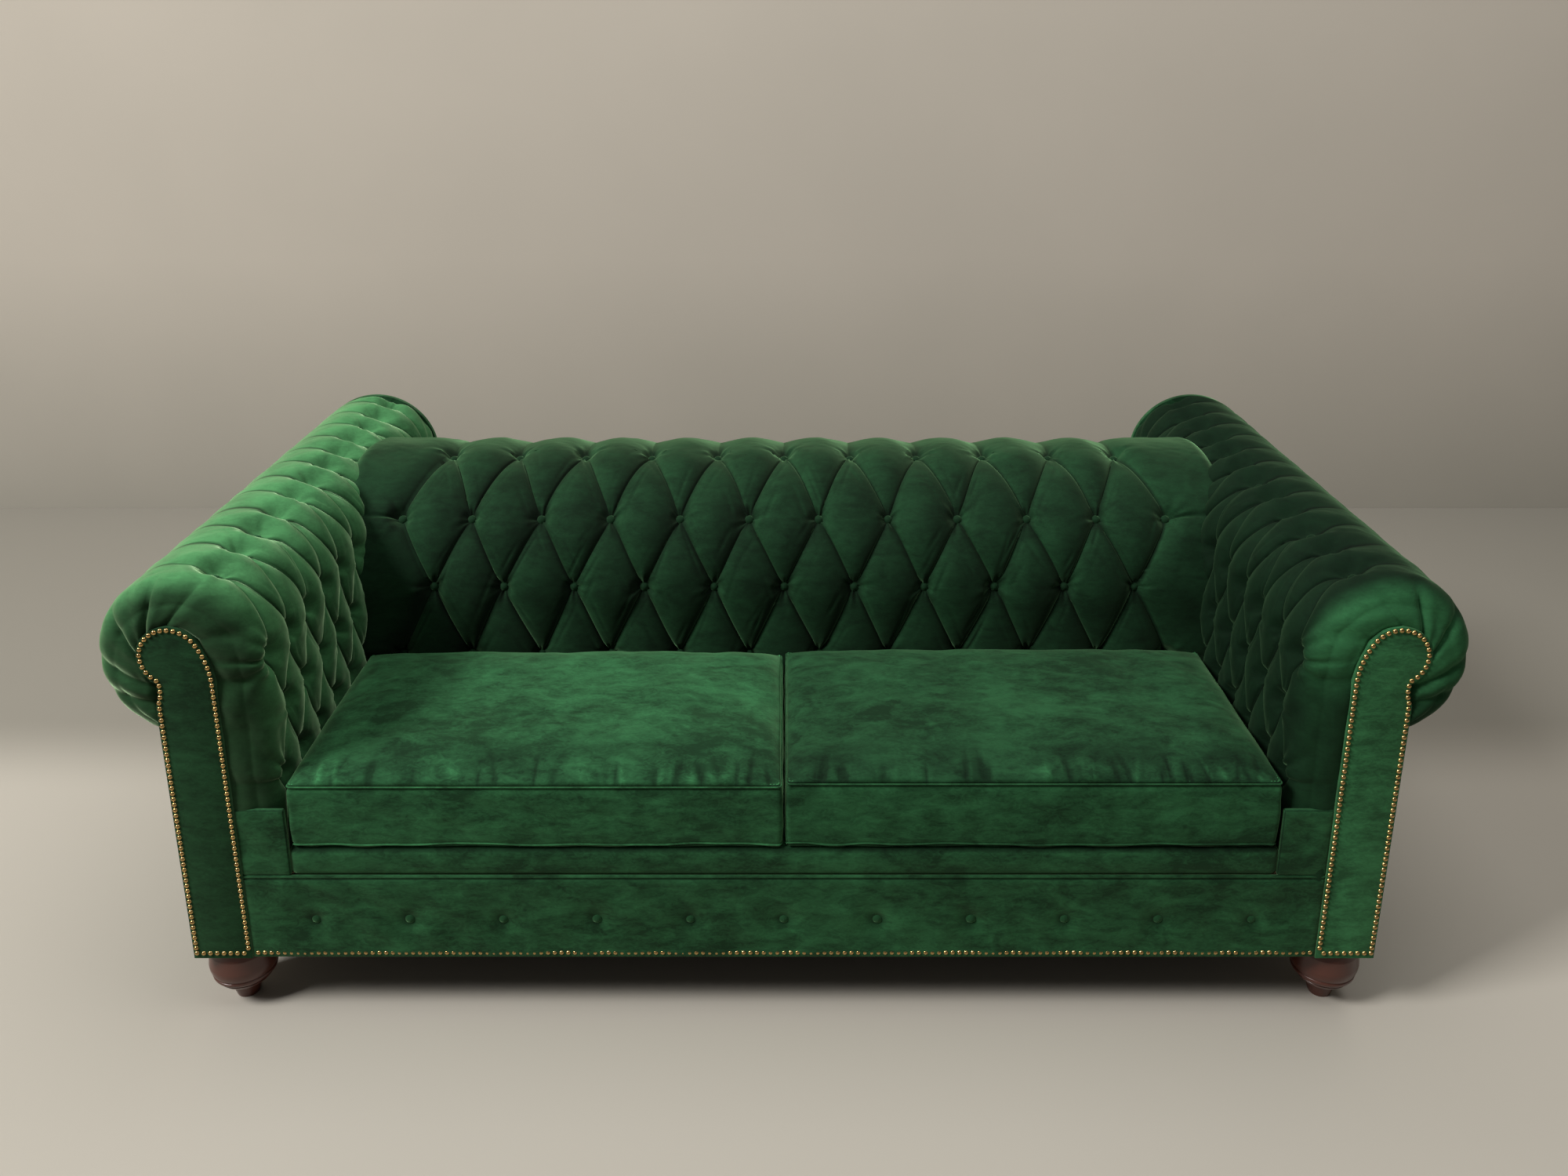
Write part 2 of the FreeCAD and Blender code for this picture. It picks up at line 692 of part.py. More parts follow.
def make_front_covering():
    """Write the padded front rail, its buttons, the welt and the bands under the arms."""
    half_x = facing_half_x
    pad = box(-half_x, half_x, facing_y, pad_front_y, base_z, welt_z - welt_radius - fit_gap)
    hollows = []
    buttons = []
    for count in range(rail_button_count):
        x = (count - (rail_button_count - 1) / 2) * rail_button_pitch
        place = V(x, facing_y, base_z + rail_button_rise)
        hollows.append(tuft_hollow(place, -AXIS_Y, rail_tuft_depth, rail_tuft_mouth_radius))
        seat = place + AXIS_Y * rail_tuft_depth
        buttons.append(dome(button_radius, rail_button_crown, seat, -AXIS_Y))
    save("front_rail_pad", [pad.cut(Part.makeCompound(hollows))])
    save("front_rail_buttons", buttons)
    welt_start = V(-half_x, facing_y + welt_radius, welt_z)
    save("front_welt", [cylinder(welt_radius, welt_start, AXIS_X, 2 * half_x)])
    low = welt_z + welt_radius + fit_gap
    band_y = front_y + front_band_setback
    band = box(inner_x + fit_gap, half_x, band_y, pad_front_y, low, low + front_band_height)
    save("front_band_right", [band])
    save("front_band_left", [mirrored(band)])
    nail_z = base_z + base_nail_lift
    reach = outer_x - nail_inset
    steps = int(2 * reach / base_nail_pitch)
    panel_x = outer_x - scroll_panel_width
    nails = []
    for count in range(steps + 1):
        x = -reach + count * 2 * reach / steps
        if abs(abs(x) - panel_x) < nail_radius + fit_gap:
            continue
        y = front_y if abs(x) > panel_x else facing_y
        nails.append(dome(nail_radius, nail_crown, V(x, y, nail_z), -AXIS_Y))
    save("base_nails", nails)


def cushion_outline(x0, x1, y0, y1, z, draw):
    """Return a four-sided outline whose sides are drawn in between its corners."""
    mid_x = (x0 + x1) / 2
    mid_y = (y0 + y1) / 2
    corners = [V(x0, y0, z), V(x1, y0, z), V(x1, y1, z), V(x0, y1, z)]
    middles = [
        V(mid_x, y0 + draw, z),
        V(x1 - draw, mid_y, z),
        V(mid_x, y1 - draw, z),
        V(x0 + draw, mid_y, z),
    ]
    return Part.Wire([arc(corners[i], middles[i], corners[(i + 1) % 4]) for i in range(4)])


def cushion_solid(shrink):
    """Return the right cushion's crowned form, drawn in by a wall."""
    x0 = cushion_middle_gap / 2 + shrink
    x1 = inner_x - cushion_side_gap - shrink
    y0 = cushion_front_y + shrink
    y1 = cushion_rear_y - shrink
    low = cushion_bottom_z + shrink
    seam = cushion_bottom_z + cushion_border_height
    top = seam + cushion_crown - shrink
    corner = cushion_corner_inset
    span = min(x1 - x0, y1 - y0) / 2

    def drawn(inset, z, draw):
        return cushion_outline(x0 + inset, x1 - inset, y0 + inset, y1 - inset, z, draw)

    levels = [(corner, low), (0.0, (low + seam) / 2), (corner, seam)]
    side = [drawn(inset, z, cushion_side_draw) for inset, z in levels]
    border = Part.makeLoft(side, True, False)
    crown = []
    for share in cushion_crown_steps:
        rise = math.sqrt(1 - (1 - share) ** cushion_crown_power)
        draw = cushion_side_draw * (1 - share)
        crown.append(drawn(corner + share * span, seam + (top - seam) * rise, draw))
    dome_part = Part.makeLoft(crown, True, False)
    return border.fuse(dome_part).removeSplitter()


def make_cushions():
    """Write the two loose seat cushions, each a cover round a foam core."""
    outer = cushion_solid(0.0)
    wall = cushion_solid(cushion_cover_thickness)
    core = cushion_solid(cushion_cover_thickness + fit_gap)
    cover = outer.cut(wall)
    save("cushion_cover_right", [cover])
    save("cushion_cover_left", [mirrored(cover)])
    save("cushion_core_right", [core])
    save("cushion_core_left", [mirrored(core)])


def foot_outline():
    """Return the edges of half a turned bun foot's section, with two grooves above its cone."""
    corners = [V(0, 0, 0), V(foot_pad_radius, 0, 0)]
    edges = [line(corners[0], corners[1])]
    place = corners[1]

    def to(radius, rise, swell=0.0):
        nonlocal place
        after = V(radius, 0, place.z + rise)
        if swell:
            edges.append(arc(place, (place + after) * 0.5 + AXIS_X * swell, after))
        else:
            edges.append(line(place, after))
        place = after

    to(foot_neck_radius, foot_cone_height)
    to(foot_neck_radius + foot_flare, foot_flare)
    to(foot_low_ring_radius, foot_low_ring_height, foot_ring_swell)
    to(foot_low_ring_radius + foot_groove_step, foot_groove_width, -foot_groove_depth)
    to(foot_high_ring_radius, foot_high_ring_height, foot_ring_swell)
    to(foot_high_ring_radius + foot_groove_step, foot_groove_width, -foot_groove_depth)
    to(foot_radius, foot_belly_height, foot_belly_swell)
    to(foot_shoulder_radius, foot_shoulder_height)
    to(foot_top_radius, foot_height - place.z)
    to(0.0, 0.0)
    edges.append(line(place, corners[0]))
    return edges


def make_feet():
    """Write the four turned feet with their bolts and tee nuts, and the dust cover."""
    outline = Part.Wire(Part.__sortEdges__(foot_outline()))
    turned = Part.Face(outline).revolve(V(0, 0, 0), AXIS_Z, 360)
    bolt_z = foot_height - foot_bolt_below
    bolt = cylinder(foot_bolt_radius, V(0, 0, bolt_z), AXIS_Z, foot_bolt_below + foot_bolt_above)
    hole = cylinder(foot_bolt_radius, V(0, 0, bolt_z), AXIS_Z, foot_bolt_below)
    turned = turned.cut(hole)
    nut_top = V(0, 0, base_z + corner_block_height)
    nut_foot = nut_top - AXIS_Z * tee_nut_depth
    barrel = cylinder(foot_bolt_radius + tee_nut_wall, nut_foot, AXIS_Z, tee_nut_depth)
    flange = cylinder(tee_nut_radius, nut_top, AXIS_Z, tee_nut_wall)
    bore = cylinder(foot_bolt_radius, nut_foot, AXIS_Z, tee_nut_depth + tee_nut_wall)
    nut = barrel.fuse(flange).removeSplitter().cut(bore)
    bolts = []
    nuts = []
    for end, y in (("front", foot_y), ("rear", -foot_y)):
        for side, x in (("left", -foot_x), ("right", foot_x)):
            place = V(x, y, 0)
            save("foot_" + end + "_" + side, [turned.translated(place)])
            bolts.append(bolt.translated(place))
            nuts.append(nut.translated(place))
    save("foot_bolts", bolts)
    save("foot_tee_nuts", nuts)
    cover_z = base_z - dust_cover_thickness
    cover = box(-core_out_x, core_out_x, pad_front_y, pad_rear_y, cover_z, base_z)
    hole_radius = foot_top_radius + dust_cover_hole_gap
    for y in (foot_y, -foot_y):
        for x in (-foot_x, foot_x):
            cover = cover.cut(cylinder(hole_radius, V(x, y, cover_z), AXIS_Z, dust_cover_thickness))
    save("dust_cover", [cover])


def main():
    """Write every node of the sofa."""
    os.makedirs("parts", exist_ok=True)
    make_base_frame()
    make_arm_frame()
    make_back_frame()
    make_seat()
    make_arm_covering()
    make_back_covering()
    make_scroll_panels()
    make_front_covering()
    make_cushions()
    make_feet()


main()
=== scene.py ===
"""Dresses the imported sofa: deep-buttoned velvet, loose cushions, nail trim and turned feet.

Every length is in metres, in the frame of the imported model: +X to the right seen from the front,
+Y from the front to the rear, +Z up, with the origin on the floor under the middle of the sofa.
"""

from __future__ import annotations

import logging
import math
from collections.abc import Callable
from dataclasses import dataclass
from enum import Enum

import bmesh
import bpy
import numpy as np
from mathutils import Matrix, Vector


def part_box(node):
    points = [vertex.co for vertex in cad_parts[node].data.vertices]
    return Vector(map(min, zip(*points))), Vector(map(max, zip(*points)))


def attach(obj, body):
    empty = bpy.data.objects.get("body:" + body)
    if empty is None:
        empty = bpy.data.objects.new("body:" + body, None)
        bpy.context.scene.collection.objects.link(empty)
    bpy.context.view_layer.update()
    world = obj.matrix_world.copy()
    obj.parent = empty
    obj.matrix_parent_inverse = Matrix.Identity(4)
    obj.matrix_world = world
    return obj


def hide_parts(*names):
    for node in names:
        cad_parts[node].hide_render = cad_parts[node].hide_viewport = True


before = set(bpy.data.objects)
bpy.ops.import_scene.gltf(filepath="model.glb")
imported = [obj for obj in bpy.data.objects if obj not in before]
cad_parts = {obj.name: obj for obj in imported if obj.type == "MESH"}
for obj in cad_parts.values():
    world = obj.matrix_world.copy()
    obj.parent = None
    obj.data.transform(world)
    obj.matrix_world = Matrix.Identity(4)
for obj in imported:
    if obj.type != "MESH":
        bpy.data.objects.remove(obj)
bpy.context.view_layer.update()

LOG = logging.getLogger("sofa")
MM = 0.001
UP = np.array((0.0, 0.0, 1.0))
WOOD_NODES = (
    "arm_front_boards",
    "arm_rear_boards",
    "arm_tack_rails",
    "arm_top_rails",
    "back_rear_rail",
    "back_ribs",
    "back_tack_rail",
    "back_top_board",
    "frame_corner_blocks",
    "frame_front_rail",
    "frame_rear_rail",
    "frame_seat_rail",
    "frame_side_rails",
    "frame_stretchers",
)
BUTTON_NODES = ("arm_buttons_left", "arm_buttons_right", "back_buttons", "front_rail_buttons")
OUTER_PANELS = (
    "outer_arm_panel_left",
    "outer_arm_panel_right",
    "outer_back_panel",
    "arm_rear_cap_left",
    "arm_rear_cap_right",
)


class Side(Enum):
    """The two sides of the sofa, seen from the front."""

    LEFT = -1
    RIGHT = 1

    @property
    def word(self) -> str:
        """The side as a piece name has it."""
        return self.name.lower()


def smooth(value: np.ndarray, low: float, high: float) -> np.ndarray:
    """Eases from 0 at one value to 1 at another.

    Args:
        value: The numbers to ease.
        low: Where the result starts to rise.
        high: Where the result has reached 1.

    Returns:
        The eased numbers, from 0 to 1.
    """
    share = np.clip((np.asarray(value, float) - low) / (high - low), 0.0, 1.0)
    return share * share * (3.0 - 2.0 * share)


def bell(value: np.ndarray) -> np.ndarray:
    """Gives a smooth hump.

    Args:
        value: How far off its middle, as a share of its half width.

    Returns:
        Numbers from 1 in the middle to 0 far out.
    """
    return np.exp(-(value**2))


def unit(vectors: np.ndarray) -> np.ndarray:
    """Makes vectors one long.

    Args:
        vectors: The vectors, along the last axis.

    Returns:
        The same directions.
    """
    return vectors / np.maximum(np.linalg.norm(vectors, axis=-1, keepdims=True), 1e-9)


def ripple(x: np.ndarray, y: np.ndarray, scale: float, seed: int) -> np.ndarray:
    """Gives smooth random unevenness over a surface.

    Args:
        x: First surface coordinate.
        y: Second surface coordinate.
        scale: Rough size of one bump.
        seed: Which random pattern.

    Returns:
        Values of about -1 to 1.
    """
    draw = np.random.default_rng(seed)
    total = np.zeros(np.broadcast(x, y).shape)
    waves = 9
    for _ in range(waves):
        turn = draw.uniform(0.0, 2.0 * math.pi)
        rate = 2.0 * math.pi / (scale * draw.uniform(0.7, 1.7))
        phase = draw.uniform(0.0, 2.0 * math.pi)
        total += np.sin(rate * (x * math.cos(turn) + y * math.sin(turn)) + phase)
    return total / math.sqrt(waves)


def grid_faces(numbers: np.ndarray, flip: bool = False) -> list[tuple[int, ...]]:
    """Gives the faces of a grid of points.

    Args:
        numbers: The grid's point numbers.
        flip: Whether the faces point the other way.

    Returns:
        The corners of each face.
    """
    a, b, c, d = numbers[:-1, :-1], numbers[1:, :-1], numbers[1:, 1:], numbers[:-1, 1:]
    corners = (a, d, c, b) if flip else (a, b, c, d)
    return list(map(tuple, np.stack([k.reshape(-1) for k in corners], axis=1).tolist()))


def run_along(path: np.ndarray) -> np.ndarray:
    """Measures a path.

    Args:
        path: Places along it.

    Returns:
        How far along it each place is.
    """
    return np.concatenate([[0.0], np.cumsum(np.linalg.norm(np.diff(path, axis=0), axis=1))])


class Section:
    """The outline that padding follows, as a path of lines and arcs in one plane."""

    STEP = 0.5 * MM
    BLEND = 6.0 * MM

    def __init__(self, start: tuple[float, float]) -> None:
        """Starts the path.

        Args:
            start: First point of the path.
        """
        self.points: list[tuple[float, float]] = [start]

    def line(self, to: tuple[float, float]) -> Section:
        """Adds a straight run.

        Args:
            to: Its last point.

        Returns:
            This path.
        """
        at = self.points[-1]
        count = max(2, round(math.dist(at, to) / self.STEP))
        for share in np.linspace(0.0, 1.0, count + 1)[1:]:
            self.points.append((at[0] + (to[0] - at[0]) * share, at[1] + (to[1] - at[1]) * share))
        return self

    def arc(self, centre: tuple[float, float], turn: float) -> Section:
        """Adds an arc.

        Args:
            centre: Centre of the arc.
            turn: How far the path turns round it, in degrees, clockwise if negative.

        Returns:
            This path.
        """
        at = self.points[-1]
        radius = math.dist(at, centre)
        first = math.atan2(at[1] - centre[1], at[0] - centre[0])
        sweep = math.radians(turn)
        count = max(2, round(radius * abs(sweep) / self.STEP))
        for angle in np.linspace(first, first + sweep, count + 1)[1:]:
            x, y = centre[0] + radius * math.cos(angle), centre[1] + radius * math.sin(angle)
            self.points.append((x, y))
        return self

    def ready(self) -> Section:
        """Measures the path, once it is complete, and eases its normals over the corners.

        Returns:
            This path.
        """
        line = np.array(self.points)
        self.line_points = line
        self.run = run_along(line)
        along = np.gradient(line, self.run, axis=0)
        soft = max(1, round(self.BLEND / self.STEP))
        kernel = np.ones(2 * soft + 1) / (2 * soft + 1)
        padded = np.pad(along, ((soft, soft), (0, 0)), mode="edge")
        along = np.stack([np.convolve(padded[:, k], kernel, "valid") for k in (0, 1)], axis=1)
        along = unit(along)
        self.normals = np.stack([-along[:, 1], along[:, 0]], axis=1)
        return self

    @property
    def length(self) -> float:
        """Length of the path."""
        return float(self.run[-1])

    def at(self, run: np.ndarray) -> tuple[np.ndarray, np.ndarray]:
        """Gives places on the path.

        Args:
            run: How far along the path each place is.

        Returns:
            The points and the outward normals there.
        """
        place = np.stack([np.interp(run, self.run, self.line_points[:, k]) for k in (0, 1)], axis=-1)
        out = np.stack([np.interp(run, self.run, self.normals[:, k]) for k in (0, 1)], axis=-1)
        return place, unit(out)

    def run_at(self, place: tuple[float, float]) -> float:
        """Gives how far along the path a place is.

        Args:
            place: A place on the path or near it.

        Returns:
            The distance along the path of its point nearest to the place.
        """
        gaps = np.linalg.norm(self.line_points - np.array(place), axis=1)
        return float(self.run[int(np.argmin(gaps))])


def add_object(name: str, data: bpy.types.ID) -> bpy.types.Object:
    """Adds an object to the scene.

    Args:
        name: Its name.
        data: Its mesh, camera or light.

    Returns:
        The object.
    """
    obj = bpy.data.objects.new(name, data)
    bpy.context.scene.collection.objects.link(obj)
    return obj


class MeshMaker:
    """Collects points and faces, and makes them one object."""

    def __init__(self) -> None:
        """Starts with nothing."""
        self.points: list[np.ndarray] = []
        self.values: dict[str, list[np.ndarray]] = {}
        self.faces: list[tuple[int, ...]] = []
        self.count = 0

    def add(self, points: np.ndarray, **values: np.ndarray) -> np.ndarray:
        """Adds points.

        Args:
            points: Their places.
            **values: What each named attribute holds there.

        Returns:
            Their numbers, in the shape of the points' grid.
        """
        flat = np.asarray(points, float).reshape(-1, 3)
        self.points.append(flat)
        for name, value in values.items():
            part = np.broadcast_to(value, points.shape[:-1]).reshape(-1)
            self.values.setdefault(name, []).append(part)
        numbers = np.arange(self.count, self.count + len(flat)).reshape(points.shape[:-1])
        self.count += len(flat)
        return numbers

    def grid(self, numbers: np.ndarray, flip: bool = False) -> None:
        """Adds the faces of a grid of points.

        Args:
            numbers: The grid's point numbers.
            flip: Whether the faces point the other way.
        """
        self.faces.extend(grid_faces(numbers, flip))

    def build(self, name: str, finish: bpy.types.Material, merge: float) -> bpy.types.Object:
        """Makes the object.

        Args:
            name: The piece's name.
            finish: Its material.
            merge: Points nearer than this become one.

        Returns:
            The new object.
        """
        mesh = bpy.data.meshes.new(name)
        mesh.from_pydata(np.concatenate(self.points).tolist(), [], self.faces)
        for key, parts in self.values.items():
            layer = mesh.attributes.new(key, "FLOAT", "POINT")
            layer.data.foreach_set("value", np.concatenate(parts).astype(np.float32))
        obj = add_object(name, mesh)
        tidy_mesh(obj, merge)
        mesh.materials.append(finish)
        return obj


def tidy_mesh(obj: bpy.types.Object, merge: float) -> None:
    """Merges doubles, points the faces outwards and shades them smooth.

    Args:
        obj: The object.
        merge: Points nearer than this become one.
    """
    work = bmesh.new()
    work.from_mesh(obj.data)
    bmesh.ops.remove_doubles(work, verts=work.verts, dist=merge)
    bmesh.ops.recalc_face_normals(work, faces=work.faces)
    work.to_mesh(obj.data)
    work.free()
    obj.data.polygons.foreach_set("use_smooth", [True] * len(obj.data.polygons))
    obj.data.update()


def read_points(mesh: bpy.types.Mesh, key: str) -> np.ndarray:
    """Reads the places or the normals of a mesh's points.

    Args:
        mesh: The mesh.
        key: "co" for places, "normal" for normals.

    Returns:
        One row for each point.
    """
    values = np.zeros(len(mesh.vertices) * 3, dtype=np.float32)
    mesh.vertices.foreach_get(key, values)
    return values.reshape(-1, 3)


def scale_painted_light(mesh: bpy.types.Mesh, factors: list[np.ndarray]) -> None:
    """Scales the painted light and shade that a velvet mesh carries.

    Args:
        mesh: A velvet mesh.
        factors: Sets of factors, one for each point, that all act.
    """
    # painted light and shade: this attribute multiplies the velvet's colour, lighter where light
    # falls and darker where shade falls
    layer = mesh.attributes["painted_light"].data
    painted_light = np.zeros(len(mesh.vertices), dtype=np.float32)
    layer.foreach_get("value", painted_light)
    for factor in factors:
        painted_light *= factor.astype(np.float32)
    layer.foreach_set("value", painted_light)


def paint_facing_light(obj: bpy.types.Object, way: tuple[float, float, float], strength: float) -> None:
    """Paints light onto the faces turned one way and shade onto the others.

    Args:
        obj: A velvet piece.
        way: Where the faces with the painted light look.
        strength: How much lighter they are.
    """
    facing = read_points(obj.data, "normal") @ np.array(Vector(way).normalized())
    scale_painted_light(obj.data, [np.clip(1.0 + strength * facing, 0.3, 3.0)])


def shade_near(obj: bpy.types.Object, spots: list[Vector], reach: float, tone: float) -> None:
    """Paints shade round some places, and a painted highlight on their right.

    Args:
        obj: A velvet piece.
        spots: The places.
        reach: How far the painted shade goes.
            tone: How light each place stays under the painted shade.
    """
    places = read_points(obj.data, "co")
    factors = []
    for spot in spots:
        gap = np.linalg.norm(places[:, (0, 2)] - np.array((spot.x, spot.z)), axis=1)
        right = np.clip((places[:, 0] - spot.x) / reach, 0.0, 1.0)
        lit = 1.0 + 0.5 * right * bell(gap / (2 * reach))
        factors.append(lit - (1.0 - tone) * bell(gap / reach))
    scale_painted_light(obj.data, factors)


def select_only(obj: bpy.types.Object) -> None:
    """Deselects everything and selects one object.

    Args:
        obj: The object.
    """
    bpy.ops.object.select_all(action="DESELECT")
    obj.select_set(True)
    bpy.context.view_layer.objects.active = obj


def apply_modifier(obj: bpy.types.Object, kind: str, **settings: object) -> None:
    """Adds a modifier and applies it at once.

    Args:
        obj: The object.
        kind: The kind of modifier.
        **settings: Its settings.
    """
    select_only(obj)
    modifier = obj.modifiers.new(kind.lower(), kind)
    for key, value in settings.items():
        setattr(modifier, key, value)
    bpy.ops.object.modifier_apply(modifier=modifier.name)


def islands(node: str) -> list[tuple[Vector, Vector]]:
    """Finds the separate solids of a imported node.

    Args:
        node: Its name.

    Returns:
        The lowest and highest corner of each solid.
    """
    work = bmesh.new()
    work.from_mesh(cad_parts[node].data)
    bmesh.ops.remove_doubles(work, verts=work.verts, dist=0.01 * MM)
    seen: set[int] = set()
    boxes = []
    for first in work.verts:
        if first.index in seen:
            continue
        low, high = first.co.copy(), first.co.copy()
        stack = [first]
        seen.add(first.index)
        while stack:
            vert = stack.pop()
            low = Vector(map(min, low, vert.co))
            high = Vector(map(max, high, vert.co))
            for edge in vert.link_edges:
                other = edge.other_vert(vert)
                if other.index not in seen:
                    seen.add(other.index)
                    stack.append(other)
        boxes.append((low, high))
    work.free()
    return boxes


def place_piece(obj: bpy.types.Object, body: str, slot: str, *nodes: str) -> bpy.types.Object:
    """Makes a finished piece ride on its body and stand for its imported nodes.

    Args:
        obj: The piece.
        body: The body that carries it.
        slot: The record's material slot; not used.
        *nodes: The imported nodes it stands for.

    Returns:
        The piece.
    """
    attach(obj, body)
    if nodes:
        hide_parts(*nodes)
    LOG.info("%s: %d faces", obj.name, len(obj.data.polygons))
    return obj


@dataclass
class Tufting:
    """The buttoned pattern of one padded piece, along its length and round its section.

    Attributes:
        pitch: From one button to the next in a row.
        rows: Distance along the section of each row, from the lowest.
        starts: Where each row's first button is along the piece.
        counts: Buttons in each row.
        near_end: Where the piece starts.
        far_end: Where it ends.
        depth: How deep the buttons sit.
        mouths: Radius of the hollow round a button, by row.
        fold: Depth of the small folds beside the pleats.
        cells: Steps across one cell.
        strip_step: Step of the padding past the top row.
        low_step: Step of the padding below the lowest row.
        crowd: How closely the steps crowd at the pleats.
        crease_level: How high a pleat lies between its buttons.
        outer_level: How high a pleat lies far past the top row.
        outer_run: How soon it rises there, in pitches.
        fullness: How fast the padding rises from a pleat.
        vary: How unevenly it does.
        rays: Angle and depth of the pleats that run out from the last buttons.
        ray_reach: How far they go, in pitches.
        bow: How far the pleats curve to one side.
        stray: How unevenly they run.
        skew: How much steeper a cell is at one edge, 1 for not at all.
        leave: Share of a pitch over which a pleat leaves the last row.
        end_full: Share of a pitch over which the ends swell.
        seed: Which random pattern.
    """

    pitch: float
    rows: list[float]
    starts: list[float]
    counts: list[int]
    near_end: float
    far_end: float
    depth: float = 27.0 * MM
    mouths: tuple[float, ...] = (26.0 * MM, 26.0 * MM, 26.0 * MM, 26.0 * MM)
    fold: float = 2.0 * MM
    cells: int = 36
    strip_step: float = 6.0 * MM
    low_step: float = 12.0 * MM
    crowd: float = 0.6
    crease_level: float = 0.36
    outer_level: float = 0.84
    outer_run: float = 2.2
    fullness: float = 0.62
    vary: float = 0.18
    rays: tuple[tuple[float, float], ...] = ((0.0, 0.7),)
    ray_reach: float = 0.5
    bow: float = 0.0
    stray: float = 2.0 * MM
    skew: float = 0.8
    leave: float = 0.5
    end_full: float = 0.42
    seed: int = 1

    def share(self, count: int) -> np.ndarray:
        """Gives steps that crowd towards both ends.

        Args:
            count: How many steps.

        Returns:
            Numbers from 0 to 1.
        """
        even = np.linspace(0.0, 1.0, count + 1)
        return even - self.crowd * np.sin(2.0 * math.pi * even) / (2.0 * math.pi)

    def rising(self, share: np.ndarray) -> np.ndarray:
        """Gives the swell across a cell, steeper at the edge it starts from.

        Args:
            share: How far across.

        Returns:
            Numbers from 0 at both edges to 1.
        """
        return np.sin(math.pi * np.clip(share, 0.0, 1.0) ** self.skew)

    def leaving(self, away: np.ndarray, share: float) -> np.ndarray:
        """Gives the swell with distance from the last pleats.

        Args:
            away: The distance.
            share: Share of a pitch at which it is full.

        Returns:
            Numbers from 0 to 1.
        """
        return np.sin(math.pi / 2 * np.clip(away / (share * self.pitch), 0.0, 1.0))

    def tuft_x(self, row: int, number: int) -> float:
        """Gives where a tuft is along the piece.

        Args:
            row: Its row.
            number: Its number in the row, from 0.

        Returns:
            The place along the piece.
        """
        return self.starts[row] + number * self.pitch

    def run_of(self, rise: np.ndarray, length: float) -> np.ndarray:
        """Turns a row coordinate into a distance along the section.

        Args:
            rise: Row coordinate: 0 at the lowest row, up by 1 for each row, and beyond the rows a
                length past the last one.
            length: Whole length of the section.

        Returns:
            Distances along the section.
        """
        top = len(self.rows) - 1
        inside = np.interp(np.clip(rise, 0, top), range(top + 1), self.rows)
        return np.clip(inside + np.maximum(rise - top, 0.0) + np.minimum(rise, 0.0), 0.0, length)


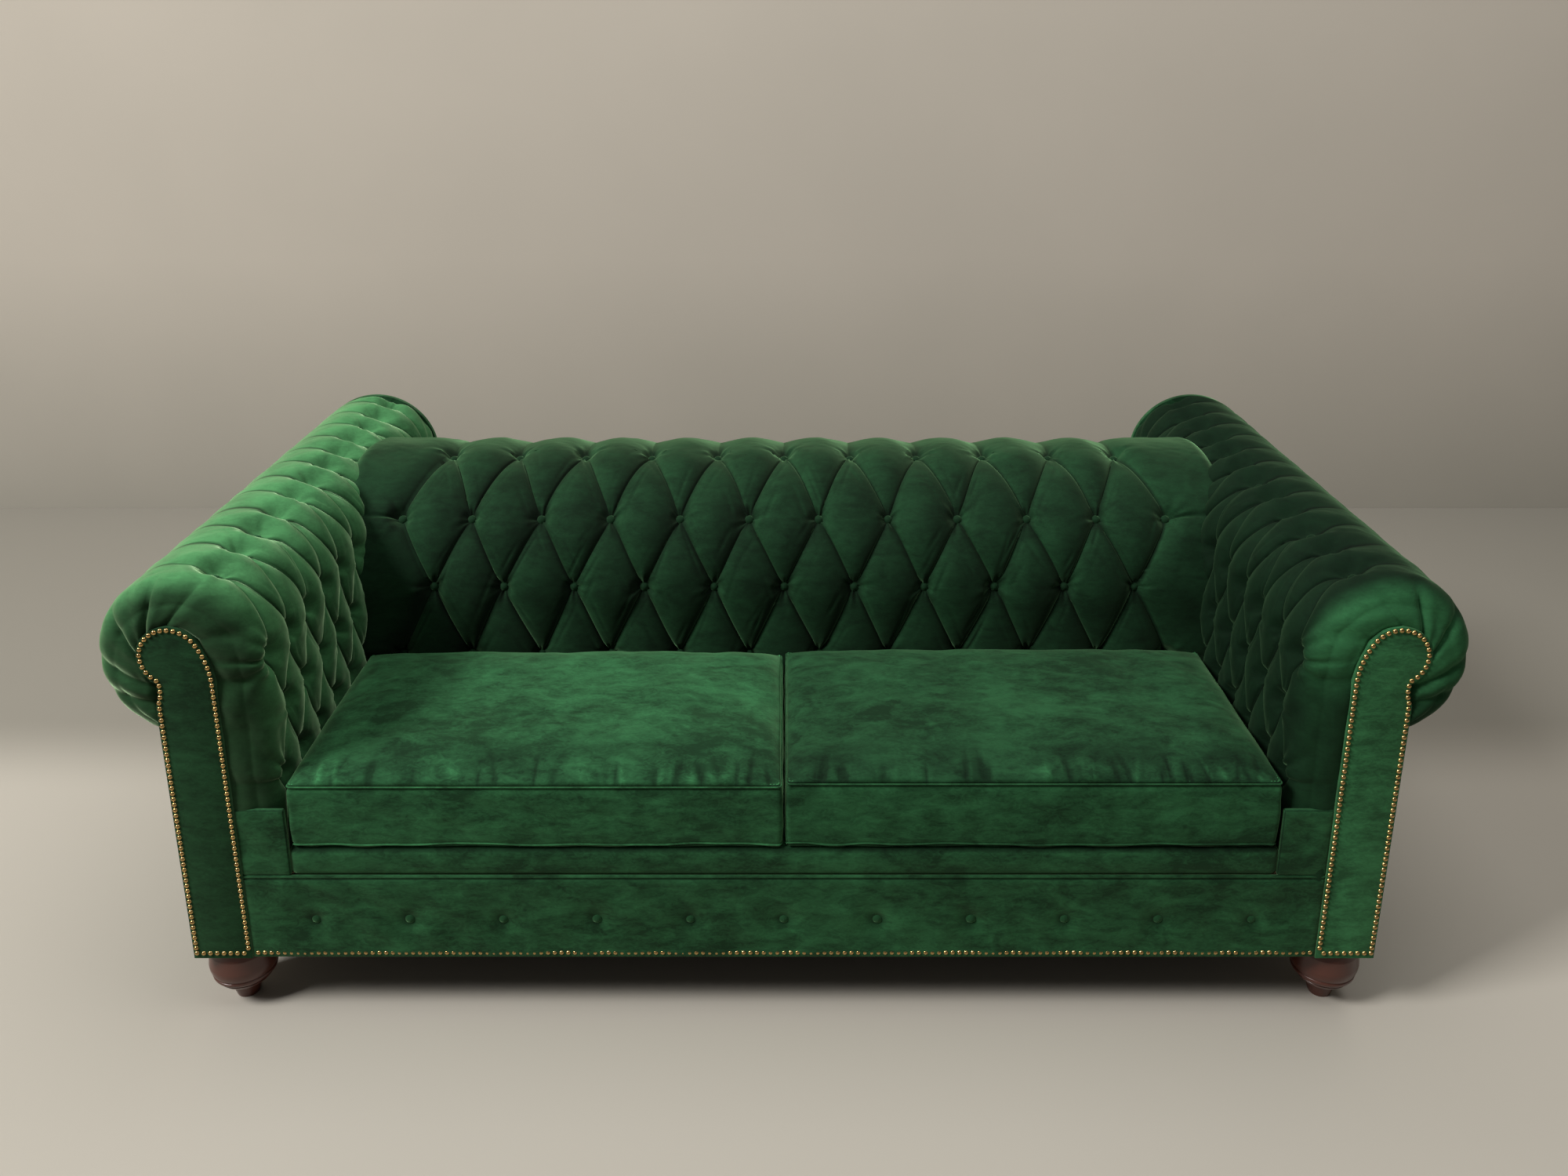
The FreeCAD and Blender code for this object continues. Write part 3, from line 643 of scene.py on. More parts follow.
class TuftedSkin:
    """Builds the buttoned surface of a padded piece, with a point on every pleat.

    Attributes:
        CREASE_CURVE: How fast a pleat rises from its button, less is faster.
        CLIMB_FROM: Where the pleats start to rise past the top row, in pitches.
        RAY_WIDE: Half the width of a pleat that runs out from a last button, in degrees.
        RAY_START: How far such a pleat's point lies behind the button.
        MOUTH_VARY: How much the hollows round the buttons differ in size.
        BUTTON_WIDE: Share of the hollow's radius that the button itself takes.
        GATHERS: Waves of the cloth round a button, and their sizes.
        STRAY_LONG: Length over which the pleats stray, in pitches.
        CALM_ENDS: How near an end the pleats start to run straight, and where they are straight.
    """

    CREASE_CURVE = 0.4
    CLIMB_FROM = 0.1
    RAY_WIDE = 7.0
    RAY_START = 4.0 * MM
    MOUTH_VARY = 0.15
    BUTTON_WIDE = 0.15
    GATHERS = ((5, 0.8), (8, 0.7), (11, 0.6))
    STRAY_LONG = 1.6
    CALM_ENDS = (60.0 * MM, 120.0 * MM)

    def __init__(self, section: Section, tufting: Tufting) -> None:
        """Lays out the surface.

        Args:
            section: The outline the padding follows.
            tufting: The buttoned pattern.
        """
        self.section = section
        self.plan = tufting
        self.x: list[np.ndarray] = []
        self.rise: list[np.ndarray] = []
        self.level: list[np.ndarray] = []
        self.swell: list[np.ndarray] = []
        self.fold: list[np.ndarray] = []
        self.faces: list[tuple[int, ...]] = []
        self.count = 0
        self.draw = np.random.default_rng(tufting.seed)
        top = len(tufting.rows) - 1
        above = section.length - tufting.rows[-1]
        below = tufting.rows[0]
        self.above = np.linspace(0.0, above, round(above / tufting.strip_step) + 1)
        self.below = np.linspace(0.0, below, round(below / tufting.low_step) + 1)
        inside = [row + tufting.share(tufting.cells)[1:] for row in range(top)]
        self.heights = np.concatenate(
            [-self.below[:0:-1], [0.0], *inside, top + self.above[1:]]
        )

    def add(
        self,
        x: np.ndarray,
        rise: np.ndarray,
        level: np.ndarray,
        swell: np.ndarray,
        fold: np.ndarray | float = 0.0,
    ) -> np.ndarray:
        """Adds points.

        Args:
            x: Where they are along the piece.
            rise: Their row coordinate.
            level: How high the nearest pleat is there, from 0 at a button to 1 at the outer form.
            swell: How full the padding is there, from 0 on a pleat to 1.
            fold: How deep a small fold is there.

        Returns:
            Their numbers.
        """
        shape = np.broadcast(x, rise, level, swell).shape
        stores = (self.x, self.rise, self.level, self.swell, self.fold)
        for store, part in zip(stores, (x, rise, level, swell, fold)):
            store.append(np.broadcast_to(part, shape).reshape(-1))
        size = int(np.prod(shape))
        numbers = np.arange(self.count, self.count + size).reshape(shape)
        self.count += size
        return numbers

    def pleat_level(
        self, near: np.ndarray, far: np.ndarray, away: np.ndarray | float, beyond: np.ndarray | float
    ) -> np.ndarray:
        """Gives how high the pleats lie.

        Args:
            near: Swell across one family of pleats.
            far: Swell across the other family.
            away: Swell with distance from the row of buttons.
            beyond: Distance past the last row.

        Returns:
            Levels from 0 at a button.
        """
        plan = self.plan
        blank = (1.0 - near**2) * (1.0 - far**2) * (1.0 - away**2)
        climb = smooth(beyond, self.CLIMB_FROM * plan.pitch, plan.outer_run * plan.pitch)
        crease = plan.crease_level + (plan.outer_level - plan.crease_level) * climb
        return crease * (1.0 - blank) ** self.CREASE_CURVE

    def diamond(self, x: float, row: int, upper: bool, lower: bool) -> None:
        """Adds the padding between four buttons, or half of it beside the last rows.

        Args:
            x: Where its left button is.
            row: The row of its left and right buttons.
            upper: Whether its upper half is there.
            lower: Whether its lower half is there.
        """
        plan = self.plan
        count = plan.cells
        share = plan.share(count)
        up, down = np.meshgrid(share, share, indexing="ij")
        near, far = plan.rising(up), plan.rising(1.0 - down)
        full = self.draw.uniform(1.0 - plan.vary, 1.0 + plan.vary) * plan.fullness
        swell = (near * far) ** full
        level = self.pleat_level(near, far, 0.0, 0.0)
        fold = self.small_folds(up, down)
        numbers = self.add(x + (up + down) * plan.pitch / 2, row + up - down, level, swell, fold)
        for i in range(count):
            for j in range(count):
                a, b = numbers[i, j], numbers[i + 1, j]
                c, d = numbers[i + 1, j + 1], numbers[i, j + 1]
                if (i > j and upper) or (i < j and lower) or (i == j and upper and lower):
                    self.faces.append((a, b, c, d))
                elif i == j and upper:
                    self.faces.append((a, b, c))
                elif i == j and lower:
                    self.faces.append((a, c, d))
        if not (upper and lower):
            self.strip(x, row, share, full, up=lower)

    def small_folds(self, up: np.ndarray, down: np.ndarray) -> np.ndarray:
        """Gives the small folds that run beside the pleats of one cell.

        Args:
            up: Share of the way across from its lower left edge.
            down: Share of the way across from its upper left edge.

        Returns:
            Depths of the folds.
        """
        depth = np.zeros(up.shape)
        edges = ((up, down), (down, up), (1.0 - up, down), (1.0 - down, up))
        for across, along in edges:
            for _ in range(2):
                away = self.draw.uniform(0.07, 0.24)
                lean = self.draw.uniform(-0.14, 0.14)
                wide = self.draw.uniform(0.014, 0.03)
                middle, long = self.draw.uniform(0.15, 0.85), self.draw.uniform(0.14, 0.3)
                deep = self.draw.uniform(0.0, 1.0) ** 1.5 * self.plan.fold
                line = (across - away - lean * (along - middle)) / wide
                depth += deep * bell(line) * bell((along - middle) / long)
        return depth

    def strip(self, x: float, row: int, share: np.ndarray, full: float, up: bool) -> None:
        """Adds the straight padding between two pleats, beyond the last row of buttons.

        Args:
            x: Where its left pleat is.
            row: The row it starts from.
            share: Steps across it.
            full: How its swell rises from a pleat.
            up: Whether it goes on upwards.
        """
        plan = self.plan
        run = self.above if up else self.below
        across, away = np.meshgrid(share, run, indexing="ij")
        near, far = plan.rising(across), plan.rising(1.0 - across)
        swell = (near * far) ** full
        leave = plan.leaving(away, plan.leave)
        level = self.pleat_level(near, far, leave, away if up else 0.0)
        rise = row + away if up else row - away
        numbers = self.add(x + across * plan.pitch, rise, level, swell)
        self.faces.extend(grid_faces(numbers, flip=not up))

    def end(self, x: np.ndarray, far: bool) -> np.ndarray:
        """Adds the padding beyond the last buttons.

        Args:
            x: Where each point is along the piece, by column and height.
            far: Whether it is the far end.

        Returns:
            The numbers of its points.
        """
        rise, level, swell = self.end_field(x, far)
        numbers = self.add(x, rise, level, swell)
        self.faces.extend(grid_faces(numbers, flip=not far))
        return numbers

    def end_pleat(self, far: bool) -> tuple[np.ndarray, np.ndarray]:
        """Gives the zigzag pleat through the last buttons of the rows.

        Args:
            far: Whether it is the one at the far end.

        Returns:
            Where it is along the piece, and its swell along the pleat, at each height.
        """
        plan = self.plan
        top = len(plan.rows) - 1
        ends = [plan.tuft_x(row, plan.counts[row] - 1 if far else 0) for row in range(top + 1)]
        rise = np.clip(self.heights, 0, top)
        x = np.interp(rise, range(top + 1), ends)
        row = np.minimum(np.floor(rise).astype(int), top - 1)
        past = np.maximum(self.heights - top, 0.0) + np.maximum(-self.heights, 0.0)
        outside = plan.leaving(past, plan.leave)
        return x, np.where(past > 0.0, outside, plan.rising(rise - row))

    def end_field(self, x: np.ndarray, far: bool) -> tuple[np.ndarray, np.ndarray, np.ndarray]:
        """Gives the padding beyond the last buttons.

        Args:
            x: Where each point is along the piece, by column and height.
            far: Whether it is the far end.

        Returns:
            Row coordinates, pleat levels and swells.
        """
        plan = self.plan
        edge, along = self.end_pleat(far)
        top = len(plan.rows) - 1
        gap = np.abs(x - edge[None, :])
        across = plan.leaving(gap, plan.end_full)
        rise = np.broadcast_to(self.heights[None, :], x.shape)
        level = self.pleat_level(across, along[None, :], 0.0, np.maximum(rise - top, 0.0))
        swell = across**plan.fullness
        for row in (0, 2):
            if plan.tuft_x(row, 0) > plan.tuft_x(row + 1, 0) and not far:
                continue
            off = (rise - row) * (plan.rows[row + 1] - plan.rows[row])
            turn = np.degrees(np.arctan2(off, gap + self.RAY_START))
            fade = np.exp(-gap / (plan.ray_reach * plan.pitch))
            for at, deep in plan.rays:
                swell = swell * (1.0 - deep * fade * bell((turn - at) / self.RAY_WIDE))
        return rise, level, swell

    def finish(self) -> dict[str, np.ndarray]:
        """Joins all the points and works out their heights.

        Returns:
            For each point its place x along the piece, its run along the section, its drop
            below the outer form, the gather of the cloth round the nearest button, and its swell.
        """
        plan = self.plan
        x, rise = np.concatenate(self.x), np.concatenate(self.rise)
        level, swell = np.concatenate(self.level), np.concatenate(self.swell)
        fold = np.concatenate(self.fold)
        run = plan.run_of(rise, self.section.length)
        nearest = np.full(len(x), 1.0)
        turn = np.zeros(len(x))
        which = np.zeros(len(x))
        mouth = np.full(len(x), plan.mouths[0])
        for row, at in enumerate(plan.rows):
            for number in range(plan.counts[row]):
                off_x, off_run = x - plan.tuft_x(row, number), run - at
                gap = np.hypot(off_x, off_run)
                closer = gap < nearest
                nearest = np.where(closer, gap, nearest)
                turn = np.where(closer, np.arctan2(off_run, off_x), turn)
                which = np.where(closer, row * 31.0 + number * 7.0, which)
                wide = 1.0 + self.MOUTH_VARY * math.sin(number * 2.3 + row)
                mouth = np.where(closer, plan.mouths[row] * wide, mouth)
        height = level + (1.0 - level) * swell
        reach = nearest / mouth
        wide_slope = smooth(reach, self.BUTTON_WIDE, 1.0)
        steep_slope = smooth(reach, self.BUTTON_WIDE, 0.6)
        height *= wide_slope * 0.7 + 0.3 * steep_slope
        gather = np.zeros(len(x))
        for waves, size in self.GATHERS:
            gather += size * np.sin(waves * turn + which * (1.3 + 0.37 * waves))
        gather *= bell(reach - 0.5)
        free = smooth(reach, 0.3, 1.2)
        bowed = plan.bow * np.sin(math.pi * np.clip(rise, 0.0, len(plan.rows) - 1)) ** 2
        strayed = plan.stray * ripple(x, run, self.STRAY_LONG * plan.pitch, plan.seed + 3)
        away = np.minimum(x - x.min(), x.max() - x)
        shift = free * (bowed + strayed) * smooth(away, *self.CALM_ENDS)
        return {
            "x": x + shift,
            "run": run,
            "drop": plan.depth * (1.0 - height) + fold * smooth(reach, 0.4, 0.9),
            "gather": gather,
            "swell": swell,
        }


BROAD_WAVE = (90.0 * MM, 0.9 * MM)
FINE_WAVE = (24.0 * MM, 0.25 * MM)
NAP_DEEP = 0.7 * MM


def velvet_gather(skin: dict[str, np.ndarray], seed: int) -> np.ndarray:
    """Gives the small unevenness of buttoned velvet, inwards.

    Args:
        skin: The arrays of a finished skin.
        seed: Which random pattern.

    Returns:
        How much further in each point lies.
    """
    total = NAP_DEEP
    for add, (wide, deep) in enumerate((BROAD_WAVE, FINE_WAVE)):
        total = total + deep * ripple(skin["x"], skin["run"], wide, seed + add)
    return skin["swell"] * total


@dataclass
class Back:
    """The buttoned back between the arms."""

    face_y: float = -57.2 * MM
    foot_forward: float = 12.0 * MM
    foot_z: float = 306.0 * MM
    roll: float = 262.0 * MM
    crest_z: float = 797.0 * MM
    core_y: float = 7.8 * MM
    core_top: float = 690.0 * MM
    core_run: float = 100.0 * MM
    core_rear_y: float = 324.0 * MM
    core_lip: float = 9.0 * MM
    end_round: float = 34.0 * MM
    end_steps: int = 36
    end_crowd: float = 1.6
    angles: tuple[float, ...] = (80.0, 47.0, 3.0)
    low_row_z: float = 435.0 * MM
    low_row_out: float = 5.0 * MM
    gather: float = 1.1 * MM
    counts: tuple[int, ...] = (12, 11, 12, 11)
    cells: int = 40
    seed: int = 11

    def section(self) -> Section:
        """Gives the outer form, from the foot over the crest to the rear.

        Returns:
            The path.
        """
        rear_y, rear_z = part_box("back_pad")[1].y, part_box("outer_back_panel")[1].z
        centre = (self.face_y + self.roll, self.crest_z - self.roll)
        run, fall = rear_y - centre[0], self.crest_z - rear_z
        rear_radius = (run**2 + fall**2) / (2 * fall)
        sweep = 2 * math.degrees(math.atan2(fall, run))
        path = Section((self.face_y - self.foot_forward, self.foot_z))
        path.line((self.face_y, centre[1])).arc(centre, -90.0)
        path.arc((centre[0], self.crest_z - rear_radius), -sweep)
        return path.ready()

    def tufting(self, section: Section) -> Tufting:
        """Gives the pattern of the back's buttons.

        Args:
            section: The outer form.

        Returns:
            The pattern.
        """
        centre = (self.face_y + self.roll, self.crest_z - self.roll)
        places = [(self.face_y - self.low_row_out, self.low_row_z)]
        for angle in self.angles:
            turn = math.radians(90.0 + angle)
            across, up = self.roll * math.cos(turn), self.roll * math.sin(turn)
            places.append((centre[0] + across, centre[1] + up))
        buttons = sorted(low.x + high.x for low, high in islands("back_buttons"))
        pitch = (buttons[-1] - buttons[0]) / 2 / (max(self.counts) - 1)
        return Tufting(
            pitch=pitch,
            rows=[section.run_at(place) for place in places],
            starts=[-(count - 1) / 2 * pitch for count in self.counts],
            counts=list(self.counts),
            near_end=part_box("back_pad")[0].x,
            far_end=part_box("back_pad")[1].x,
            cells=self.cells,
        )

    def build(self, finish: bpy.types.Material) -> bpy.types.Object:
        """Makes the back's padding.

        Args:
            finish: Its velvet.

        Returns:
            The piece.
        """
        section = self.section()
        plan = self.tufting(section)
        skin = TuftedSkin(section, plan)
        fill_cells(skin)
        edges = []
        for far in (False, True):
            pleat, _ = skin.end_pleat(far)
            end = plan.far_end if far else plan.near_end
            share = 1.0 - np.linspace(1.0, 0.0, self.end_steps + 1) ** self.end_crowd
            x = pleat[None, :] + (end - pleat[None, :]) * share[:, None]
            edges.append(skin.end(x, far)[-1])
        made = skin.finish()
        place, out = section.at(made["run"])
        drop = made["drop"] + velvet_gather(made, self.seed) - self.gather * made["gather"]
        from_end = np.minimum(made["x"] - plan.near_end, plan.far_end - made["x"])
        turn = self.end_round - np.clip(from_end, 0.0, self.end_round)
        drop = drop + self.end_round - np.sqrt(np.maximum(self.end_round**2 - turn**2, 0.0))
        flat = place - out * drop[:, None]
        points = np.stack([made["x"], flat[:, 0], flat[:, 1]], axis=1)
        maker = MeshMaker()
        maker.add(points, swell=made["swell"], painted_light=1.0)
        maker.faces = skin.faces
        self.close(maker, skin, section, edges)
        obj = maker.build("back_padding", finish, merge=0.02 * MM)
        # painted light: faces turned to the left are painted lighter, faces turned to the right
        # darker
        paint_facing_light(obj, (-1.0, 0.0, 0.25), 1.5)
        return place_piece(obj, "root", "velvet", "back_pad")

    def close(
        self, maker: MeshMaker, skin: TuftedSkin, section: Section, edges: list[np.ndarray]
    ) -> None:
        """Closes the padding round the hollow that holds the back's frame.

        Args:
            maker: The mesh so far.
            skin: The surface.
            section: Its outline.
            edges: Point numbers up the near and far ends.
        """
        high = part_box("back_pad")[1]
        rear_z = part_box("outer_back_panel")[1].z
        core = Section((self.core_y, self.foot_z)).line((self.core_y, rear_z))
        core.line((self.core_y + self.core_run, self.core_top))
        core.line((self.core_rear_y, self.core_top))
        core.line((high.y - self.core_lip, rear_z)).ready()
        runs = skin.plan.run_of(skin.heights, section.length)
        inner, _ = core.at(runs / section.length * core.length)
        rings = []
        for end, edge in zip((skin.plan.near_end, skin.plan.far_end), edges):
            places = np.stack([np.full(len(inner), end), inner[:, 0], inner[:, 1]], axis=1)
            ring = maker.add(places, swell=0.5, painted_light=1.0)
            maker.grid(np.stack([edge, ring]), flip=end > 0)
            rings.append(ring)
        maker.grid(np.stack(rings))


def fill_cells(skin: TuftedSkin) -> None:
    """Adds the padding between all the buttons of a skin.

    Args:
        skin: The surface.
    """
    plan = skin.plan
    top = len(plan.rows) - 1
    for row in range(top + 1):
        for number in range(plan.counts[row] - 1):
            skin.diamond(plan.tuft_x(row, number), row, upper=row < top, lower=row > 0)


# painted light and shade on the arms' fronts, low down and at the scroll head: a painted sheen round
# the right arm's head, painted shade on the left arm's front
FRONT_PAINTED_LIGHT = {Side.LEFT: (0.38, 0.38), Side.RIGHT: (2.1, 8.5)}


@dataclass
class Arm:
    """One buttoned arm: its roll, its inner side and its swollen front."""

    side: Side
    roll: float = 141.0 * MM
    roll_x: float = 969.0 * MM
    roll_z: float = 674.0 * MM
    head_x: float = 977.0 * MM
    head_z: float = 687.0 * MM
    head_hold: float = 43.5 * MM
    head_turn: float = 228.0
    hold_x: float = 925.0 * MM
    hold_out: float = 74.0 * MM
    top_angle: float = 18.5
    row_drops: tuple[float, ...] = (229.0 * MM, 119.0 * MM, 9.0 * MM)
    columns: int = 12
    front_round: float = 44.0 * MM
    front_bulge: float = 10.0 * MM
    tuck: float = 6.0 * MM
    rear_round: float = 16.0 * MM
    near_steps: int = 60
    near_crowd: float = 1.25
    far_steps: int = 16
    fold_fade: tuple[float, float] = (0.55, 0.9)
    painted_light_fade: tuple[float, float] = (0.2, 0.9)
    tuck_from: float = 0.72
    groove_power: float = 1.2
    groove_narrow: float = 2.2
    groove_start: float = 30.0 * MM
    groove_loss: float = 0.45
    crest_high: float = 0.3
    crest_off: float = 1.7
    gather: float = 0.9 * MM
    # heights over which the painted light on the front changes
    painted_light_from_z: float = 580.0 * MM
    painted_light_to_z: float = 720.0 * MM
    pleats: tuple[tuple[float, float, float], ...] = (
        (18.0, 4.0, 7.0),
        (66.0, 4.0, 6.0),
        (101.0, 9.0, 7.0),
        (144.0, 9.0, 7.5),
        (183.0, 8.0, 7.0),
        (207.0, 6.0, 8.0),
        (-20.0, 5.0, 7.0),
    )

    @property
    def node(self) -> str:
        """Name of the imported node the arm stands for."""
        return f"arm_pad_{self.side.word}"

    def section(self) -> Section:
        """Gives the outer form, from the foot of the inner side over the roll to its underside.

        Returns:
            The path, as on the right arm.
        """
        low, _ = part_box("arm_pad_right")
        under_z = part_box("outer_arm_panel_right")[1].z
        turn = 180.0 + math.degrees(math.asin((self.roll_z - under_z) / self.roll))
        path = Section((low.x, low.z)).line((low.x, self.roll_z))
        return path.arc((self.roll_x, self.roll_z), -turn).ready()

    def hold(self) -> Section:
        """Gives the line under the scroll panel that the front covering is drawn in to.

        Returns:
            The path, as on the right arm.
        """
        low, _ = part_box("arm_pad_right")
        under_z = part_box("outer_arm_panel_right")[1].z
        path = Section((self.hold_x, low.z)).line((self.hold_x, self.roll_z))
        path.line((self.head_x - self.head_hold, self.head_z))
        path.arc((self.head_x, self.head_z), -self.head_turn)
        return path.line((self.hold_x + self.hold_out, under_z + 4.0 * MM)).ready()

    def tufting(self, section: Section) -> Tufting:
        """Gives the pattern of the arm's buttons.

        Args:
            section: The outer form.

        Returns:
            The pattern.
        """
        low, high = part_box("arm_pad_right")
        buttons = islands("arm_buttons_right")
        spots = sorted((a.y + b.y) / 2 for a, b in buttons if a.z > self.roll_z + 60.0 * MM)
        pitch = (spots[-1] - spots[0]) / (len(spots) - 1)
        rows = [section.run_at((low.x, self.roll_z - drop)) for drop in self.row_drops]
        turn = math.radians(90.0 + self.top_angle)
        top = (self.roll_x + self.roll * math.cos(turn), self.roll_z + self.roll * math.sin(turn))
        first = spots[0]
        return Tufting(
            pitch=pitch,
            rows=rows + [section.run_at(top)],
            starts=[first - pitch / 2, first, first - pitch / 2, first],
            counts=[self.columns] * 4,
            near_end=low.y,
            far_end=high.y,
            cells=30,
            mouths=(30.0 * MM, 30.0 * MM, 32.0 * MM, 44.0 * MM),
            vary=0.3,
            rays=((2.0, 0.75), (38.0, 0.5), (62.0, 0.45), (-34.0, 0.6), (-58.0, 0.5)),
            ray_reach=0.75,
            bow=-9.0 * MM,
            stray=4.0 * MM,
            crease_level=0.42,
            outer_level=0.95,
            outer_run=1.3,
            fullness=0.55,
            seed=21 if self.side is Side.LEFT else 22,
        )

    def build(self, finish: bpy.types.Material) -> bpy.types.Object:
        """Makes the arm's padding.

        Args:
            finish: Its velvet.

        Returns:
            The piece.
        """
        section = self.section()
        plan = self.tufting(section)
        skin = TuftedSkin(section, plan)
        fill_cells(skin)
        front = plan.near_end + self.front_round
        corner = self.front_round * math.pi / 2
        runs = plan.run_of(skin.heights, section.length)
        reach = np.linalg.norm(self.held(section, runs) - section.at(runs)[0], axis=1)
        start = front - corner - (reach - self.front_round)
        crowded = 1.0 - np.linspace(1.0, 0.0, self.near_steps + 1) ** self.near_crowd
        near = self.end(skin, start, False, crowded)
        far = self.end(skin, plan.far_end, True, np.linspace(0.0, 1.0, self.far_steps + 1))
        made = skin.finish()
        place, out = section.at(made["run"])
        drop = made["drop"] + velvet_gather(made, 31 + self.side.value)
        drop = drop - self.gather * made["gather"]
        past = np.maximum(front - made["x"], 0.0)
        toward = self.held(section, made["run"]) - place
        gap = np.linalg.norm(toward, axis=1)
        toward = unit(toward)
        turn = np.clip(past / corner, 0.0, 1.0) * math.pi / 2
        flat = np.maximum(past - corner, 0.0)
        offset = np.where(past > 0.0, self.front_round * (1.0 - np.cos(turn)) + flat, 0.0)
        y = np.where(past > 0.0, front - self.front_round * np.sin(turn), made["x"])
        across = np.clip(flat / np.maximum(gap - self.front_round, 1.0 * MM), 0.0, 1.0)
        inward, forward = np.cos(turn), np.sin(turn)
        lift = self.relief(place, past, across) * np.clip(past / corner, 0.0, 1.0)
        from_end = np.clip((plan.far_end - y) / self.rear_round, 0.0, 1.0)
        end_drop = self.rear_round * (1.0 - np.sqrt(np.maximum(1.0 - (1.0 - from_end) ** 2, 0.0)))
        sink = drop * (1.0 - smooth(across, *self.fold_fade)) + end_drop
        # painted light: the front face turns lighter or darker towards the scroll head
        low_painted_light, head_painted_light = FRONT_PAINTED_LIGHT[self.side]
        climb = smooth(place[:, 1], self.painted_light_from_z, self.painted_light_to_z)
        front_painted_light = low_painted_light + (head_painted_light - low_painted_light) * climb
        painted_light = 1.0 + (front_painted_light - 1.0) * smooth(past / corner, *self.painted_light_fade)
        plane = place + toward * offset[:, None] - out * (sink * inward)[:, None]
        plane = plane + out * (lift * inward)[:, None]
        y = y + (sink - lift) * forward
        maker = MeshMaker()
        points = np.stack([self.side.value * plane[:, 0], y, plane[:, 1]], axis=1)
        maker.add(points, swell=made["swell"], painted_light=painted_light)
        maker.faces = skin.faces
        self.close(maker, section, runs, (near[-1], far[-1]), plan)
        obj = maker.build(f"arm_padding_{self.side.word}", finish, merge=0.02 * MM)
        # painted light on the left arm: faces turned upwards are painted lighter
        if self.side is Side.LEFT:
            paint_facing_light(obj, (-0.35, 0.2, 1.0), 0.7)
        return place_piece(obj, "root", "velvet", self.node)

    def held(self, section: Section, runs: np.ndarray) -> np.ndarray:
        """Gives where the front covering is held, for each place round the arm.

        Args:
            section: The outer form.
            runs: Distances along it.

        Returns:
            Places on the line under the scroll panel.
        """
        hold = self.hold()
        marks = [0.0, section.run_at((section.points[0][0], self.roll_z)), section.length]
        under = [0.0, hold.run_at((self.head_x - self.head_hold, self.head_z)), hold.length]
        return hold.at(np.interp(runs, marks, under))[0]

    def end(
        self, skin: TuftedSkin, stop: np.ndarray | float, far: bool, share: np.ndarray
    ) -> np.ndarray:
        """Adds the padding between the last buttons and one end.

        Args:
            skin: The surface.
            stop: Where the end is, at each height.
            far: Whether it is the far end.
            share: Steps from the last pleat to the end.

        Returns:
            The numbers of its points.
        """
        pleat = skin.end_pleat(far)[0][None, :]
        return skin.end(pleat + (stop - pleat) * share[:, None], far)

    def relief(self, place: np.ndarray, past: np.ndarray, across: np.ndarray) -> np.ndarray:
        """Gives how far the front swells out, with its radial pleats.

        Args:
            place: Places round the arm.
            past: How far past the start of the front's rounding each point is.
            across: Share of the way over the flat of the front.

        Returns:
            Heights out of the plain form.
        """
        bulge = self.front_bulge * np.sin(math.pi * np.clip(across * 0.92 + 0.08, 0.0, 1.0)) ** 0.8
        bulge -= (self.tuck + self.front_bulge * 0.2) * smooth(across, self.tuck_from, 1.0)
        angle = np.degrees(np.arctan2(place[:, 1] - self.head_z, self.head_x - place[:, 0]))
        groove = np.zeros(len(angle))
        crest = np.zeros(len(angle))
        for at, deep, wide in self.pleats:
            off = (angle - at + 180.0) % 360.0 - 180.0
            fall = np.abs(off / wide) ** self.groove_power * self.groove_narrow
            groove += deep * MM * np.exp(-fall)
            crest += deep * MM * self.crest_high * bell(np.abs(off) / wide - self.crest_off)
        groove *= smooth(past, 0.0, self.groove_start) * (1.0 - self.groove_loss * across)
        return bulge + crest - groove

    def close(
        self,
        maker: MeshMaker,
        section: Section,
        runs: np.ndarray,
        edges: tuple[np.ndarray, np.ndarray],
        plan: Tufting,
    ) -> None:
        """Closes the padding along the side that lies against the arm's frame.

        Args:
            maker: The mesh so far.
            section: The outer form.
            runs: Distance along the section of each row of points.
            edges: Point numbers round the front and rear ends.
            plan: The buttoned pattern.
        """
        low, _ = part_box("arm_pad_right")
        top = self.roll_z - 4.0 * MM
        inner = self.hold_x - 8.0 * MM
        last = section.points[-1]
        core = Section((inner, low.z)).line((inner, top))
        core.line((last[0] - 5.0 * MM, top)).line(last).ready()
        place, _ = core.at(runs / section.length * core.length)
        x = self.side.value * place[:, 0]
        ends = ((plan.near_end + 6.0 * MM, edges[0], True), (plan.far_end, edges[1], False))
        rings = []
        for y, edge, flip in ends:
            grid = np.stack([x, np.full(len(place), y), place[:, 1]], axis=1)
            ring = maker.add(grid, swell=0.5, painted_light=1.0)
            maker.grid(np.stack([edge, ring]), flip=flip)
            rings.append(ring)
        maker.grid(np.stack(rings))


# painted light: the right cushion's border is painted lighter than the left's
BORDER_PAINTED_LIGHT = {Side.LEFT: 1.0, Side.RIGHT: 1.45}


